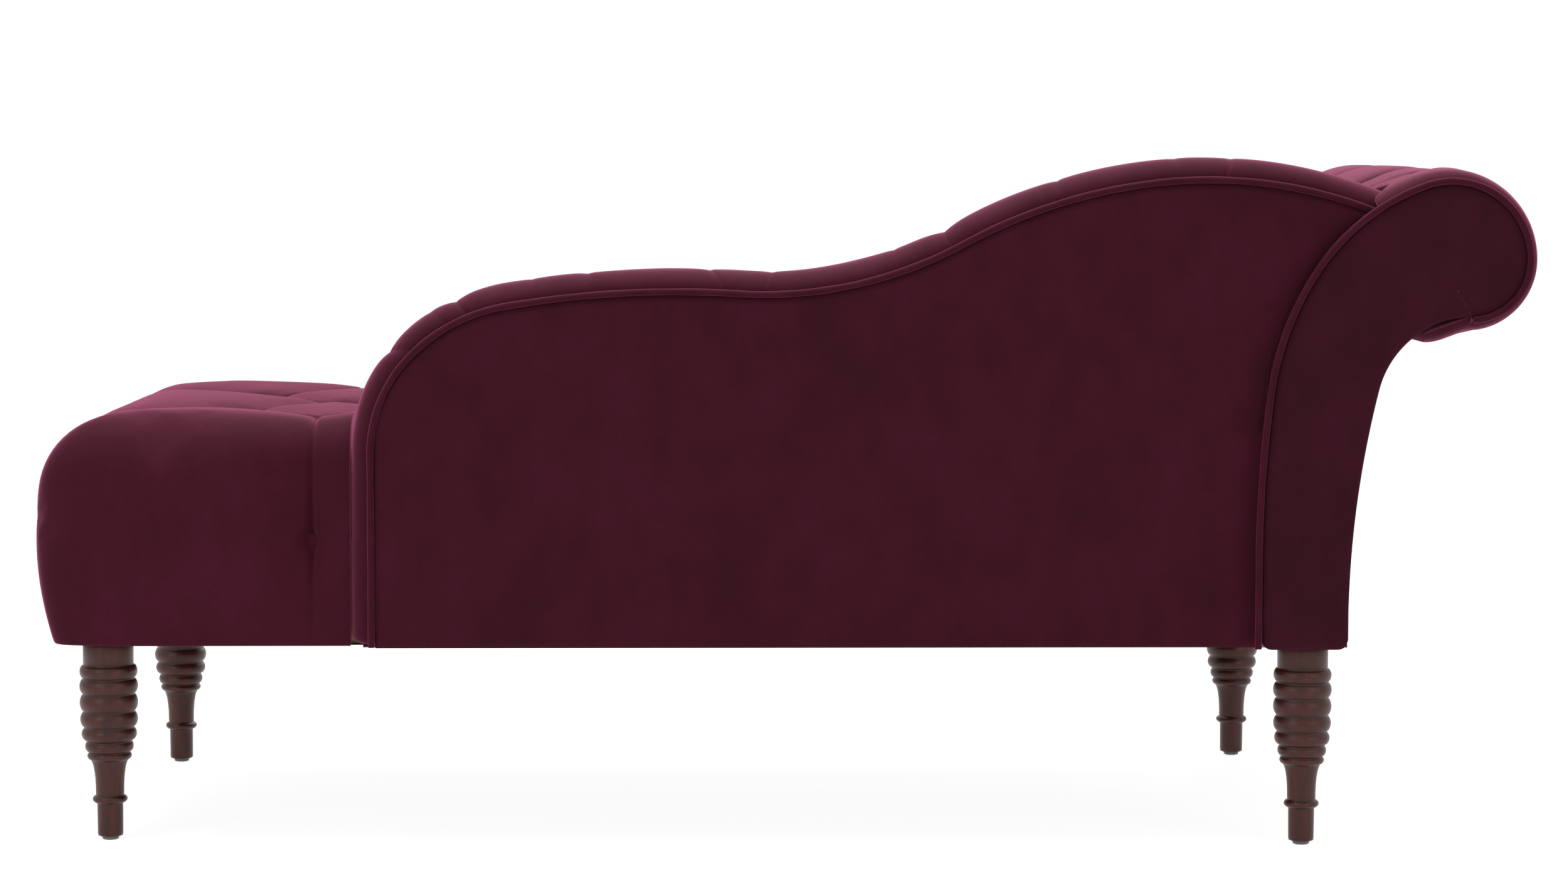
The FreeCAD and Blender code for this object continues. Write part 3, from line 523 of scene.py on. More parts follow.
def seatSurface(sizes):
    # Inner sheet z = top over (x, y), then a ring round it: out along a quarter ellipse, down the wall,
    # over the hem and up inside to the deck. Every point keeps its place on the cover laid flat.
    foldX = [sizes["stepX"] * column for column in sizes["edgeFolds"]]
    x = uneven(sizes["head"] + sizes["headRound"], sizes["foot"] - sizes["footRound"], sizes["spacing"],
               foldX, 0.3, 10)
    # columns close together where the rear edge steps round the back's open end
    x = x[np.abs(x - sizes["backEnd"]) > 5]
    step = int(np.searchsorted(x, sizes["backEnd"]))
    x = np.insert(x, step, sizes["backEnd"] + np.array([-1.6, -0.5, -0.2, 0.2, 0.5, 1.6]))
    front = -(sizes["half"] - sizes["sideRound"])
    rear = np.where(x > sizes["backEnd"], sizes["half"] - sizes["sideRound"],
                    sizes["backFace"] - sizes["tuckRound"])
    # all columns share their rows up to the back; past it the free columns go on, the others close up
    closing = sizes["closingRows"]
    shared = np.arange(front, rear.min() - closing * 1.2, sizes["spacing"])[:, None] + 0 * x[None]
    share = np.linspace(0, 1, closing + 1)[:, None]
    sheetY = np.vstack([shared, shared[-1] + (rear - shared[-1])[None] * share[1:]])
    sheetX = np.repeat(x[None], len(sheetY), 0)
    sheet = np.stack([sheetX, sheetY, np.full(sheetX.shape, sizes["top"])], -1)

    number = np.arange(sheet.shape[0] * sheet.shape[1]).reshape(sheet.shape[:2])
    fan = np.linspace(0, 1, 11)[1:-1]
    free = x > sizes["backEnd"]
    loops, outs, kinds = [], [], []

    def edge(ids, out, kind):
        loops.append(ids)
        outs.append(np.broadcast_to(np.array(out, float), (len(ids), 2)))
        kinds.append(np.full(len(ids), kind))

    def corner(vertex, a, b, kind):
        # directions swing from a to b round a squared quarter ellipse on one vertex
        angle = fan[:, None] * math.pi / 2
        loops.append(np.full(len(fan), vertex))
        outs.append(np.cos(angle) ** sizes["squareness"] * np.array(a, float)
                    + np.sin(angle) ** sizes["squareness"] * np.array(b, float))
        kinds.append(np.full(len(fan), kind))

    # kind 0 comes down to the hem, kind 1 is hidden against the back or arm and ends at the deck
    side, foot, tuck = sizes["sideRound"], sizes["footRound"], sizes["tuckRound"]
    edge(number[0, :], (0, -side), 0)
    corner(number[0, -1], (0, -side), (foot, 0), 0)
    edge(number[:, -1], (foot, 0), 0)
    corner(number[-1, -1], (foot, 0), (0, side), 0)
    edge(number[-1, ::-1][free[::-1]], (0, side), 0)
    edge(number[-1, ::-1][~free[::-1]], (0, tuck), 1)
    corner(number[-1, 0], (0, tuck), (-sizes["headRound"], 0), 1)
    edge(number[::-1, 0], (-sizes["headRound"], 0), 1)
    corner(number[0, 0], (-sizes["headRound"], 0), (0, -side), 0)
    ids, out, kind = np.concatenate(loops), np.vstack(outs), np.concatenate(kinds)
    base = sheet.reshape(-1, 3)[ids]
    reach = np.linalg.norm(out, axis=1)
    unit = out / reach[:, None]
    endOn = np.clip(unit[:, 0], 0, 1) ** 2
    drop = sizes["sideDrop"] + (sizes["footDrop"] - sizes["sideDrop"]) * endOn
    drop = np.where(kind == 1, tuck, drop)
    low = np.where(kind == 1, sizes["deck"], sizes["low"])

    ring, flat = [], []
    along = np.zeros(len(ids))
    last = np.stack([np.zeros(len(ids)), np.full(len(ids), sizes["top"])], 1)

    def row(outward, z):
        # outward is the way beyond the sheet; keeps count of the length down the wall
        nonlocal along, last
        here = np.stack([outward, z], 1)
        along = along + np.linalg.norm(here - last, axis=1)
        last = here
        ring.append(np.column_stack([base[:, :2] + unit * outward[:, None], z]))
        flat.append(base[:, :2] + unit * along[:, None])

    for theta in np.linspace(0, math.pi / 2, sizes["edgeRows"] + 1)[1:]:
        row(reach * math.sin(theta), sizes["top"] - drop * (1 - math.cos(theta)))
    wallTop = sizes["top"] - drop
    for share in np.linspace(0, 1, int((sizes["top"] - sizes["low"]) / sizes["wall"]))[1:]:
        z = wallTop + share * (low + 5 - wallTop)
        tuckIn = sizes["footTuck"] * endOn * np.clip((sizes["footTuckZ"] - z) / 118, 0, 1) ** 2
        bulge = np.where(kind == 1, 0, 2.0 * math.sin(math.pi * share))
        row(reach + bulge - tuckIn, z)
    # round the hem, and up inside the frame's gap to the deck
    end = last[:, 0]
    small = np.where(kind == 1, 0.15, 1.0)
    row(end - 1.5 * small, low + 1.2)
    row(end - 3.0 * small, low)
    row(end - (sizes["hem"] + 1) * small, low + 0.3)
    row(end - (sizes["hem"] + 1.3) * small, low + 2.4 * small)
    inner = reach - np.where(kind == 1, 4, sizes["frameGap"] - 2 + 9 * endOn)
    row(np.minimum(inner, end - 5 * small), low + 2.7 * small)
    row(np.minimum(inner, end - 5 * small), np.full(len(ids), sizes["deck"]) + 0.1)
    ring, flat = np.array(ring), np.array(flat)
    sheetPoints = sheet.reshape(-1, 3)
    inSheet = len(sheetPoints)
    ringNumber = inSheet + np.arange(ring.shape[0] * len(ids)).reshape(ring.shape[:2])
    faces = gridFaces(number).tolist()
    ringFaces = gridFaces(np.vstack([ids[None], ringNumber]), True)[:, ::-1].tolist()
    faces += [f for f in ringFaces if len(set(f)) == 4]
    faces += [list(dict.fromkeys(f)) for f in ringFaces if len(set(f)) == 3]
    points = np.vstack([sheetPoints, ring.reshape(-1, 3)])
    plan = np.vstack([sheetPoints[:, :2], flat.reshape(-1, 2)])
    rowNumber = np.concatenate([np.zeros(inSheet), np.repeat(np.arange(1, ring.shape[0] + 1), len(ids))])
    kindAll = np.concatenate([np.zeros(inSheet), np.tile(kind, ring.shape[0])])
    return points, faces, plan, rowNumber, kindAll


def seatButtonPlaces(sizes):
    # two rows on the even columns, and the middle row on the odd ones
    stepX, stepY = sizes["stepX"], sizes["stepY"]
    top = [(column * stepX, row * stepY) for column in range(6, -5, -2) for row in (-1, 1)]
    return top + [(column * stepX, 0) for column in range(5, -4, -2)]


def seatCreases(sizes):
    # the diamond lattice on the top, run out over the edges as upright folds
    stepX, stepY = sizes["stepX"], sizes["stepY"]
    deep, shallow = sizes["foldDepth"], sizes["foldDepth"] * 0.55
    creases = []
    for column in range(6, -5, -2):
        for row in (-1, 1):
            at = (column * stepX, row * stepY)
            for across in (-1, 1):
                inward = ((column + across) * stepX, 0)
                outward = ((column + across) * stepX, 2 * row * stepY)
                if inward[0] < sizes["lastFold"]:
                    creases.append((at, inward, deep, deep))
                if outward[0] < sizes["lastFold"] and (row < 0 or outward[0] > sizes["backEnd"]):
                    creases.append((at, outward, deep, shallow))
                elif row > 0 and outward[0] <= sizes["backEnd"]:
                    creases.append((at, (outward[0], sizes["backFace"] + 1.4), deep, deep))
    for column in sizes["edgeFolds"]:
        for row in (-1, 1):
            if (column, row) not in sizes["sideButtons"]:
                continue
            notch = (column * stepX, 2 * row * stepY)
            foot = (column * stepX, row * (sideButtonAt(sizes) + sizes["buttonZ"] - sizes["low"]))
            button = (column * stepX, row * sideButtonAt(sizes))
            creases.append((notch, button, shallow, sizes["sideDepth"]))
            creases.append((button, foot, sizes["sideDepth"], 1.5))
    footEdge = sizes["foot"] - sizes["footRound"]
    for row in (-1, 1):
        start = (6 * stepX, row * stepY)
        over = (footEdge + 6, row * (sizes["footButtonY"] - 3))
        button = (footEdge + footButtonAt(sizes), row * sizes["footButtonY"])
        creases.append((start, over, deep, shallow))
        creases.append((over, button, shallow, sizes["sideDepth"]))
        creases.append((button, (button[0] + 110, row * (sizes["footButtonY"] + 3)), sizes["sideDepth"], 1.5))
    return creases


def sideButtonAt(sizes):
    # how far from the middle line the side buttons are on the cover laid flat
    turn = math.pi / 4 * (sizes["sideRound"] + sizes["sideDrop"])
    return sizes["half"] - sizes["sideRound"] + turn + sizes["top"] - sizes["sideDrop"] - sizes["buttonZ"]


def footButtonAt(sizes):
    # the same for the foot end's, from where the top starts to round down
    turn = math.pi / 4 * (sizes["footRound"] + sizes["footDrop"])
    return turn + sizes["top"] - sizes["footDrop"] - sizes["buttonZ"]


def cornerFolds(sizes):
    # upright folds where the cover is gathered at the two foot corners, drawn on the laid-flat cover
    folds = []
    for row in (-1, 1):
        base = np.array([sizes["foot"] - sizes["footRound"], row * (sizes["half"] - sizes["sideRound"])])
        for angle, near, far, depth in ((74, 100, 320, 4.0), (14, 150, 350, 4.0), (45, 70, 130, 0.4)):
            ahead = np.array([math.cos(math.radians(angle)), row * math.sin(math.radians(angle))])
            folds.append((base + ahead * near, base + ahead * far, 0.8, depth))
    return folds


def makeSeat(sizes):
    # folds and buttons are placed on the cover laid flat
    points, faces, plan, rowNumber, kind = seatSurface(sizes)
    wallRows = int((sizes["top"] - sizes["low"]) / sizes["wall"])
    outer = rowNumber < sizes["edgeRows"] + wallRows
    buttonsTop = seatButtonPlaces(sizes)
    buttonsSide = [(column * sizes["stepX"], side * sideButtonAt(sizes))
                   for column, side in sizes["sideButtons"]]
    buttonsFoot = [(sizes["foot"] - sizes["footRound"] + footButtonAt(sizes), side * sizes["footButtonY"])
                   for side in (-1, 1)]
    creases = seatCreases(sizes)
    cornerLook = {**sizes, "foldWidth": 2.6, "foldShare": 0.6, "lipShare": 0.3}

    def relief(_, carried, fine):
        plan, shows = carried["plan"][:, :2], carried["plan"][:, 2] > 0.6
        distance, depth, side = creaseDistance(plan, creases)
        topWell = buttonDistance(plan, buttonsTop)
        sideWell = buttonDistance(plan, buttonsSide + buttonsFoot)
        onTop = depth > sizes["sideDepth"] + 0.5
        if fine:
            height = fold(distance, depth, side, sizes) * np.where(onTop, 1, 1.5)
            height += fold(*creaseDistance(plan, cornerFolds(sizes)), cornerLook)
        else:
            height = valley(distance, depth, np.where(onTop, sizes["valleyWidth"], sizes["sideValley"]))
            height = height + dent(topWell, sizes["wellDepth"] - sizes["foldDepth"], sizes["wellWidth"])
            height = height + dent(sideWell, sizes["sideDepth"] - 1, sizes["sideWell"])
        # the cover stays flat where it butts against the back's open end
        nearBack = np.clip((np.abs(plan[:, 0] - sizes["backEnd"]) - 3) / 12, 0, 1)
        nearBack = np.where(plan[:, 1] > sizes["backFace"] - 30, nearBack, 1)
        return np.where(shows, height * nearBack, 0), distance, np.minimum(topWell, sideWell)

    def hold(distance, well, moved):
        # firm along folds and buttons, at the hem, and against arm and back
        besideBack = (np.abs(moved[:, 0] - sizes["backEnd"]) < 4) & (moved[:, 1] > 200)
        return heldWhere(bell(distance, 7) * 0.8, bell(well, 16), np.where(outer, kind == 1, 1.0),
                         np.clip((rowNumber - (wallRows - 2)) / 5, 0, 1), besideBack)

    carried = {"plan": np.column_stack([plan, outer])}
    piece = upholster("seat_cushion_cover", points, faces, carried, relief, hold, sizes)
    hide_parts("seat_cover", "seat_foam", "seat_border_foam")
    return piece


seatPiece = makeSeat(seatSizes)
print("stage: seat", len(seatPiece.data.polygons), "faces")


# Back

backSizes = {
    "end": 482.0, "sideZ": 443.0, "low": 226.0, "front": 235.0, "crestY": 306.0, "rear": 343.2,
    "crest": [(183, 45.4), (219, 34.8), (1143, 13.4), (-437, 32.1), (616, 21.3), (534, 27.6)],
    "runOn": 75, "weltInset": 25.0, "roll": 45.0, "lowRound": 20.0, "deck": 343.8, "postFace": 308.8,
    "lipInset": 50.0, "lipY": 340.4, "frameInset": 21.3, "recessY": 304.5,
    "spacing": 9.0, "rows": 52, "pressure": 3.0, "cap": 6,
    "foldDepth": 9, "valleyWidth": 20, "wellDepth": 17, "wellWidth": 17,
    "bandDepth": 1.3, "bandWidth": 7, "dimple": 2.6, "dimpleWidth": 14,
    "foldShare": 0.32, "foldWidth": 3.0, "lipShare": 0.10, "lipWidth": 8,
    # folds over the top edge: x on the crest, x at the welt, strength, and the button they start from
    "bandFolds": [(442, 423, 1.0, (315, 572)), (365, 355, 1.0, (315, 572)), (215, 219, 0.8, (105, 572)),
                  (78, 59, 0.8, (105, 572)), (9, 18, 0.8, (-105, 572)), (-182, -180, 1.0, (-210, 667)),
                  (-310, -306, 0.8, (-315, 572)), (-504, -500, 0.7, (-420, 667)),
                  (392, 380, 0.35, None), (277, 280, 0.35, None), (-128, -126, 0.35, None),
                  (-441, -440, 0.4, (-420, 667))],
    "buttons": [(315, 572), (105, 572), (-105, 572), (-315, 572), (-210, 667), (-420, 667)],
    # folds from button to button, those that fade out towards the arm, and those down to the seat
    "links": [((-105, 572), (-210, 667)), ((-315, 572), (-210, 667)), ((-315, 572), (-420, 667))],
    "towardsArm": [((-420, 667), (-560, 640), 1.0), ((-315, 572), (-500, 520), 0.9)],
    "lowZ": 572, "seatZ": 477, "step": 105,
}
# the back ends on the arm, so the arm's sizes are wanted from here on
armSizes = {
    "inner": -537.0, "outer": -631.5, "frameLow": 228.0, "low": 226.0, "straight": 97.3,
    "scroll": [(1504, 7.05), (319.6, 27.1), (231, 36.0)], "roll": 83.0, "underRoll": 61.0,
    "stemStraight": 27.0, "stemBendZ": 516.2, "stemAngle": 13.7, "stemSweep": 75,
    "pad": 18.0, "half": 350.0, "padEdge": 362.5, "weltOut": 5.0, "weltY": 365.6,
    "step": 125, "overRoll": 200, "drifted": 72, "closeAt": (-187.5, 67),   # folds across the arm
    "level": 330, "thin": 2.2, "crown": 1.5,    # the pad is level to here, and this thick at its edge
    "clearFront": 326, "clearRear": 234.5, "aboveSeat": 119.0,   # between these it starts above the seat
    "facingGrow": 1.0, "stemGrow": 3.3, "spacing": 9.0, "pressure": 3.0, "cap": 6,
    "foldDepth": 6.5, "valleyWidth": 20, "wellDepth": 11, "wellWidth": 15,
    "foldShare": 0.4, "foldWidth": 3.0, "lipShare": 0.12, "lipWidth": 8,
}


def backPath(sizes, inset, low):
    # up the open end and along the wave of tangent arcs; the dip's arc turns the other way
    arcs = [(radius - inset, angle) for radius, angle in sizes["crest"]]
    return walk((sizes["end"] - inset, low), 90,
                [("line", sizes["sideZ"] - low)] + arcs + [("line", sizes["runOn"])])


def scrollPath(sizes, grow):
    # up the inner side, over the roll and under it, as far as level with the roll's underside
    turned = sum(angle for _, angle in sizes["scroll"])
    steps = [("line", sizes["frameLow"] + sizes["straight"] - sizes["low"])]
    steps += [(radius + grow, angle) for radius, angle in sizes["scroll"]]
    steps += [(sizes["roll"] + grow, 180 - turned), (sizes["underRoll"] + grow, 90)]
    return walk((sizes["inner"] + grow, sizes["low"]), 90, steps)


def stemPath(sizes, grow, top):
    # up the outer side to a height, bending out in two arcs
    rise = math.sin(math.radians(sizes["stemAngle"]))
    start = sizes["frameLow"] + sizes["stemStraight"]
    under = scrollPath(sizes, 0)[-1, 1]
    low = ((sizes["stemBendZ"] - start) / rise - grow, sizes["stemAngle"])
    high = ((under - sizes["stemBendZ"]) / (1 - rise) - grow, sizes["stemSweep"])
    path = walk((sizes["outer"] - grow, sizes["low"]), 90, [("line", start - sizes["low"]), low, high])
    keep = int(np.argmax(path[:, 1] > top)) or len(path)
    return path[:keep]


def crossing(path, other):
    # the place at which path comes nearest to the other, as its length and its point's number
    gaps = np.linalg.norm(path[:, None] - other[None], axis=2)
    nearest = int(gaps.min(1).argmin())
    return pathLengths(path)[nearest], nearest


def backOutlines(sizes, arm):
    # the crest's outer and inner line as far as the arm, and the arm's inner side
    armSide = scrollPath(arm, 0.6)
    armSide = armSide[:int(len(armSide) * 0.75)]
    lines = [backPath(sizes, inset, sizes["low"] + sizes["lowRound"]) for inset in (0, sizes["roll"])]
    outer, inner = [line[:crossing(line, armSide)[1] + 1] for line in lines]
    return outer, inner, armSide


def armFoot(arm):
    # columns beyond this x stand on the arm's slope
    return arm["inner"] + 0.2


def backSurface(sizes, arm):
    # Inner sheet y = front over (x, z) in columns, then a ring: a quarter ellipse to the crest, another
    # back to the welt, and a lip that turns in round the frame.
    outer, inner, armSide = backOutlines(sizes, arm)
    crestStart = sizes["sideZ"] - sizes["low"] - sizes["lowRound"]
    innerLength, outerLength = pathLengths(inner)[-1], pathLengths(outer)[-1]
    places = []
    for top, _, _, _ in sizes["bandFolds"]:
        onCrest = outer[:, 1] > sizes["sideZ"]
        nearest = np.argmin(np.abs(outer[onCrest][:, 0] - top))
        places.append(pathLengths(outer)[onCrest][nearest])
    s = uneven(crestStart, outerLength, sizes["spacing"], places, 0.3, 10)
    share = (s - crestStart) / (outerLength - crestStart)
    crestOuter = pointsAt(outer, s)
    # the two crests are matched arc by arc, so that rungs stay square to the edge
    knots = [crestStart]
    knotsInner = [crestStart]
    for radius, angle in sizes["crest"]:
        knots.append(knots[-1] + abs(radius) * math.radians(angle))
        knotsInner.append(knotsInner[-1] + abs(radius - sizes["roll"]) * math.radians(angle))
    knots = [k for k in knots if k < outerLength - 60]
    knotsInner = knotsInner[:len(knots)]
    knots.append(outerLength)
    knotsInner.append(innerLength)
    crestInner = pointsAt(inner, np.interp(s, knots, knotsInner))

    # columns of the sheet hang from the inner crest; beyond the arm's foot they end on its slope
    x = crestInner[:, 0]
    slope = armSide[:int(np.argmax(armSide[:, 1])) + 1]
    onArm = x < armFoot(arm)
    bottom = np.where(onArm, np.interp(-x, -slope[:, 0], slope[:, 1]), sizes["low"] + sizes["lowRound"])
    bottom = np.minimum(bottom, crestInner[:, 1] - 0.5)
    levels = np.linspace(0, 1, sizes["rows"])
    z = bottom[None] + levels[:, None] * (crestInner[:, 1] - bottom)[None]
    # below the deck the sheet steps back to the posts
    sheetX = np.repeat(x[None], len(levels), 0)
    y = np.where(z < sizes["deck"], sizes["postFace"], sizes["front"])
    number = np.arange(z.size).reshape(z.shape)
    pointsSheet = np.stack([sheetX, y, z], -1).reshape(-1, 3)

    sideIds = number[:, 0]
    sideZ = z[:, 0]
    crestIds = number[-1, 1:]
    armIds = number[::-1, -1][1:]
    bottomIds = number[0, ::-1][1:]
    # kind 0 is the open end and the crest, 1 lies against the arm, 2 is the bottom
    lowOnArm = onArm[::-1][1:]
    loops = [sideIds, crestIds, armIds, bottomIds]
    outs = [np.column_stack([sizes["end"] - sheetX[:, 0], np.zeros(len(sideIds))]),
            (crestOuter - crestInner)[1:],
            np.column_stack([np.full(len(armIds), -0.8), np.full(len(armIds), 0.4)]),
            np.column_stack([np.where(lowOnArm, -0.5, 0.0), np.where(lowOnArm, 0.5, -sizes["lowRound"])])]
    kinds = [np.zeros(len(sideIds)), np.zeros(len(crestIds)), np.ones(len(armIds)),
             np.where(lowOnArm, 1, 2)]
    # the tip swings from the crest's direction to the arm's side
    fan = np.linspace(0, 1, 9)[1:-1, None]
    tip = outs[1][-1] * (1 - fan) + outs[2][0] * fan
    loops.insert(2, np.full(len(fan), crestIds[-1]))
    outs.insert(2, tip)
    kinds.insert(2, np.ones(len(fan)))
    angle = fan * math.pi / 2
    loops.append(np.full(len(fan), sideIds[0]))
    # the low corner is squarer than an ellipse, so that it still covers the board
    outs.append(np.sin(angle) ** 0.5 * np.array([sizes["roll"], 0.0])
                + np.cos(angle) ** 0.5 * np.array([0.0, -sizes["lowRound"]]))
    kinds.append(np.zeros(len(fan)))
    ids, out, kind = np.concatenate(loops), np.vstack(outs), np.concatenate(kinds)
    base = pointsSheet[ids]
    reach = np.linalg.norm(out, axis=1)
    # each edge point's length along the crest; the ones off it get lengths where no fold is
    edgeLength = np.concatenate([sideZ - sizes["low"] - sizes["lowRound"], s[1:],
                                 np.full(len(fan), outerLength),
                                 np.full(len(armIds), outerLength + 50),
                                 np.full(len(bottomIds), -80.0), np.full(len(fan), -10.0)])
    rear = sizes["rear"]
    ring, stage = [], []

    def row(share, y, code):
        # share 0 is the sheet's own edge and 1 the crest; code tells front, rear and hidden rows apart
        ring.append(np.column_stack([base[:, 0] + out[:, 0] * share, np.broadcast_to(y, base[:, 0].shape),
                                     base[:, 2] + out[:, 1] * share]))
        stage.append(np.full(len(ids), code))

    frontY, crestY = base[:, 1], np.maximum(base[:, 1] + 1.5, sizes["crestY"])
    crestY = np.minimum(crestY, rear - 20)
    for theta in np.linspace(0, math.pi / 2, 10)[1:]:
        row(math.sin(theta) ** 0.9, frontY + (crestY - frontY) * (1 - math.cos(theta)), 1.0)
    weltShare = 1 - sizes["weltInset"] / sizes["roll"]
    weltShare = np.where(kind == 0, weltShare, 0.9)
    for theta in np.linspace(0, math.pi / 2, 8)[1:]:
        row(1 - (1 - weltShare) * (1 - math.cos(theta)), crestY + (rear - crestY) * math.sin(theta), 2.0)
    lip = np.where(kind == 0, 1 - sizes["lipInset"] / sizes["roll"], 0.5)
    frameShare = np.where(kind == 0, 1 - sizes["frameInset"] / sizes["roll"], 0.6)
    row(lip, np.full(len(ids), rear), 3.0)
    row(lip, np.full(len(ids), sizes["lipY"]), 3.0)
    row(frameShare, np.full(len(ids), sizes["lipY"] - 0.1), 3.0)
    row(frameShare, np.maximum(sizes["recessY"], frontY + 0.4), 3.0)
    ring, stage = np.array(ring), np.array(stage)
    ringNumber = z.size + np.arange(ring.shape[0] * len(ids)).reshape(ring.shape[:2])
    faces = gridFaces(number).tolist()
    for quad in gridFaces(np.vstack([ids[None], ringNumber]), True).tolist():
        corners = list(dict.fromkeys(quad))
        if len(corners) >= 3:
            faces.append(corners[::-1])
    points = np.vstack([pointsSheet, ring.reshape(-1, 3)])
    length = np.concatenate([np.repeat(s[None], len(levels), 0).ravel(), np.tile(edgeLength, ring.shape[0])])
    stageAll = np.concatenate([np.zeros(z.size), stage.ravel()])
    towardsWelt = np.clip((np.arange(ring.shape[0]) - 8) / 7, 0, 1)
    rear01 = np.concatenate([np.zeros(z.size), np.repeat(towardsWelt, len(ids))])
    kindAll = np.concatenate([np.zeros(z.size), np.tile(kind, ring.shape[0])])
    return points, faces, length, stageAll, rear01, kindAll, outer


def backCreases(sizes, outer):
    # folds from the buttons up to the crest, between the rows, and down to the seat
    deep = sizes["foldDepth"]
    creases = []
    crestX, crestZ = outer[:, 0], outer[:, 1]
    onCrest = crestZ > sizes["sideZ"]
    for top, _, strength, button in sizes["bandFolds"]:
        z = float(np.interp(-top, -crestX[onCrest], crestZ[onCrest]))
        if button:
            creases.append((button, (top, z), deep, deep * 0.12 * strength))
        else:
            creases.append(((top, z - 45), (top, z), 0.4, deep * 0.08))
    creases += [(start, end, deep, deep) for start, end in sizes["links"]]
    for x, z in sizes["buttons"]:
        for across in (-sizes["step"], sizes["step"]):
            if z == sizes["lowZ"]:
                creases.append(((x, z), (x + across, sizes["seatZ"]), deep, deep * 0.8))
    creases += [(start, end, deep * share, deep * 0.5) for start, end, share in sizes["towardsArm"]]
    return creases


def makeBack(sizes, arm):
    # the folds on the rounded top edge are placed by the length along the crest
    points, faces, length, stage, rear01, kind, outer = backSurface(sizes, arm)
    creases = backCreases(sizes, outer)
    lengths = pathLengths(outer)
    onCrest = outer[:, 1] > sizes["sideZ"]

    def lengthAt(x):
        return float(lengths[onCrest][np.argmin(np.abs(outer[onCrest][:, 0] - x))])

    def relief(places, carried, fine):
        length, stage, rear01 = carried["band"].T
        kind = carried["rim"]
        plan = places[:, [0, 2]]
        distance, depth, side = creaseDistance(plan, creases)
        well = buttonDistance(plan, sizes["buttons"])
        fades = np.where(stage > 1.5, 0.0, 1.0)
        if fine:
            height = fold(distance, depth, side, sizes) * fades
        else:
            height = valley(distance, depth, sizes["valleyWidth"])
            height = height + dent(well, sizes["wellDepth"] - sizes["foldDepth"], sizes["wellWidth"])
            height = height * fades
        for top, bottom, strength, _ in sizes["bandFolds"]:
            at = lengthAt(top) + (lengthAt(bottom) - lengthAt(top)) * rear01
            away = length - at
            # the very top row, halfway between the codes, stays smooth
            band = (stage > 0.6) & (stage < 2.6) & (stage != 1.5) & (kind < 0.5)
            if fine:
                line = -sizes["bandDepth"] * 0.55 * strength * bell(away, 2.6)
                line += 0.7 * strength * np.sign(away) * np.exp(-(np.abs(away) / 6) ** 1.5)
            else:
                line = -sizes["bandDepth"] * strength * np.exp(-np.abs(away / sizes["bandWidth"]) ** 1.3)
                if strength == 1.0:
                    line -= sizes["dimple"] * bell(away, sizes["dimpleWidth"]) * (1 - rear01)
            height = height + np.where(band, line, 0)
        shows = (stage < 2.6) & (kind < 0.5) & (places[:, 2] > sizes["deck"] + 6)
        return np.where(shows, height, 0), distance, well

    def hold(distance, well, moved):
        inFront = stage < 0.5
        hidden = (kind > 0.5) | (stage > 2.6) | (points[:, 2] < sizes["deck"] + 12)
        return heldWhere(bell(distance, 6) * 0.7 * inFront, bell(well, 14) * inFront, hidden,
                         np.clip(rear01 * 1.6 - 0.6, 0, 1), 0.25 * (stage > 0.6))

    carried = {"band": np.column_stack([length, stage, rear01]), "rim": kind}
    piece = upholster("back_cushion_cover", points, faces, carried, relief, hold, sizes)
    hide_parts("back_cover", "back_foam")
    return piece


backPiece = makeBack(backSizes, armSizes)
print("stage: back", len(backPiece.data.polygons), "faces")


# Arm


def armCreases(sizes, path):
    # as (length up the scroll, place across it): two buttons low and two high, folds between them, and
    # one fold from each high button over the roll and under it
    lengths = pathLengths(path)
    run = sizes["frameLow"] + sizes["straight"] - sizes["low"]
    first = run + (sizes["scroll"][0][0] + sizes["pad"]) * math.radians(sizes["scroll"][0][1])
    mid = (sizes["scroll"][1][0] + sizes["pad"]) * math.radians(sizes["scroll"][1][1])
    low, high, end = first + 0.45 * mid, first + 0.98 * mid, lengths[-1]
    a, b, c, d, e = [sizes["step"] * k for k in (-2.5, -1.5, -0.5, 0.5, 1.5)]
    deep, over, drifted = sizes["foldDepth"], high + sizes["overRoll"], sizes["drifted"]
    buttons = [(low, a), (low, c), (high, b), (high, d)]
    creases = [((low, a), (high, b), deep, deep), ((low, c), (high, b), deep, deep),
               ((low, c), (high, d), deep, deep), ((high, d), (low, e), deep, deep * 0.7),
               ((low, e), (low - 120, e), deep * 0.7, 1), ((low, a), (low - 150, a), deep, 1),
               ((low, c), (low - 150, c), deep, 1), ((high, b), (over, b), deep, 5),
               ((high, d), (over, drifted), deep, 6), ((over, b), (end, b), 5, 2.5),
               ((over, drifted), (end, drifted), 6, 2.5)]
    return creases, buttons


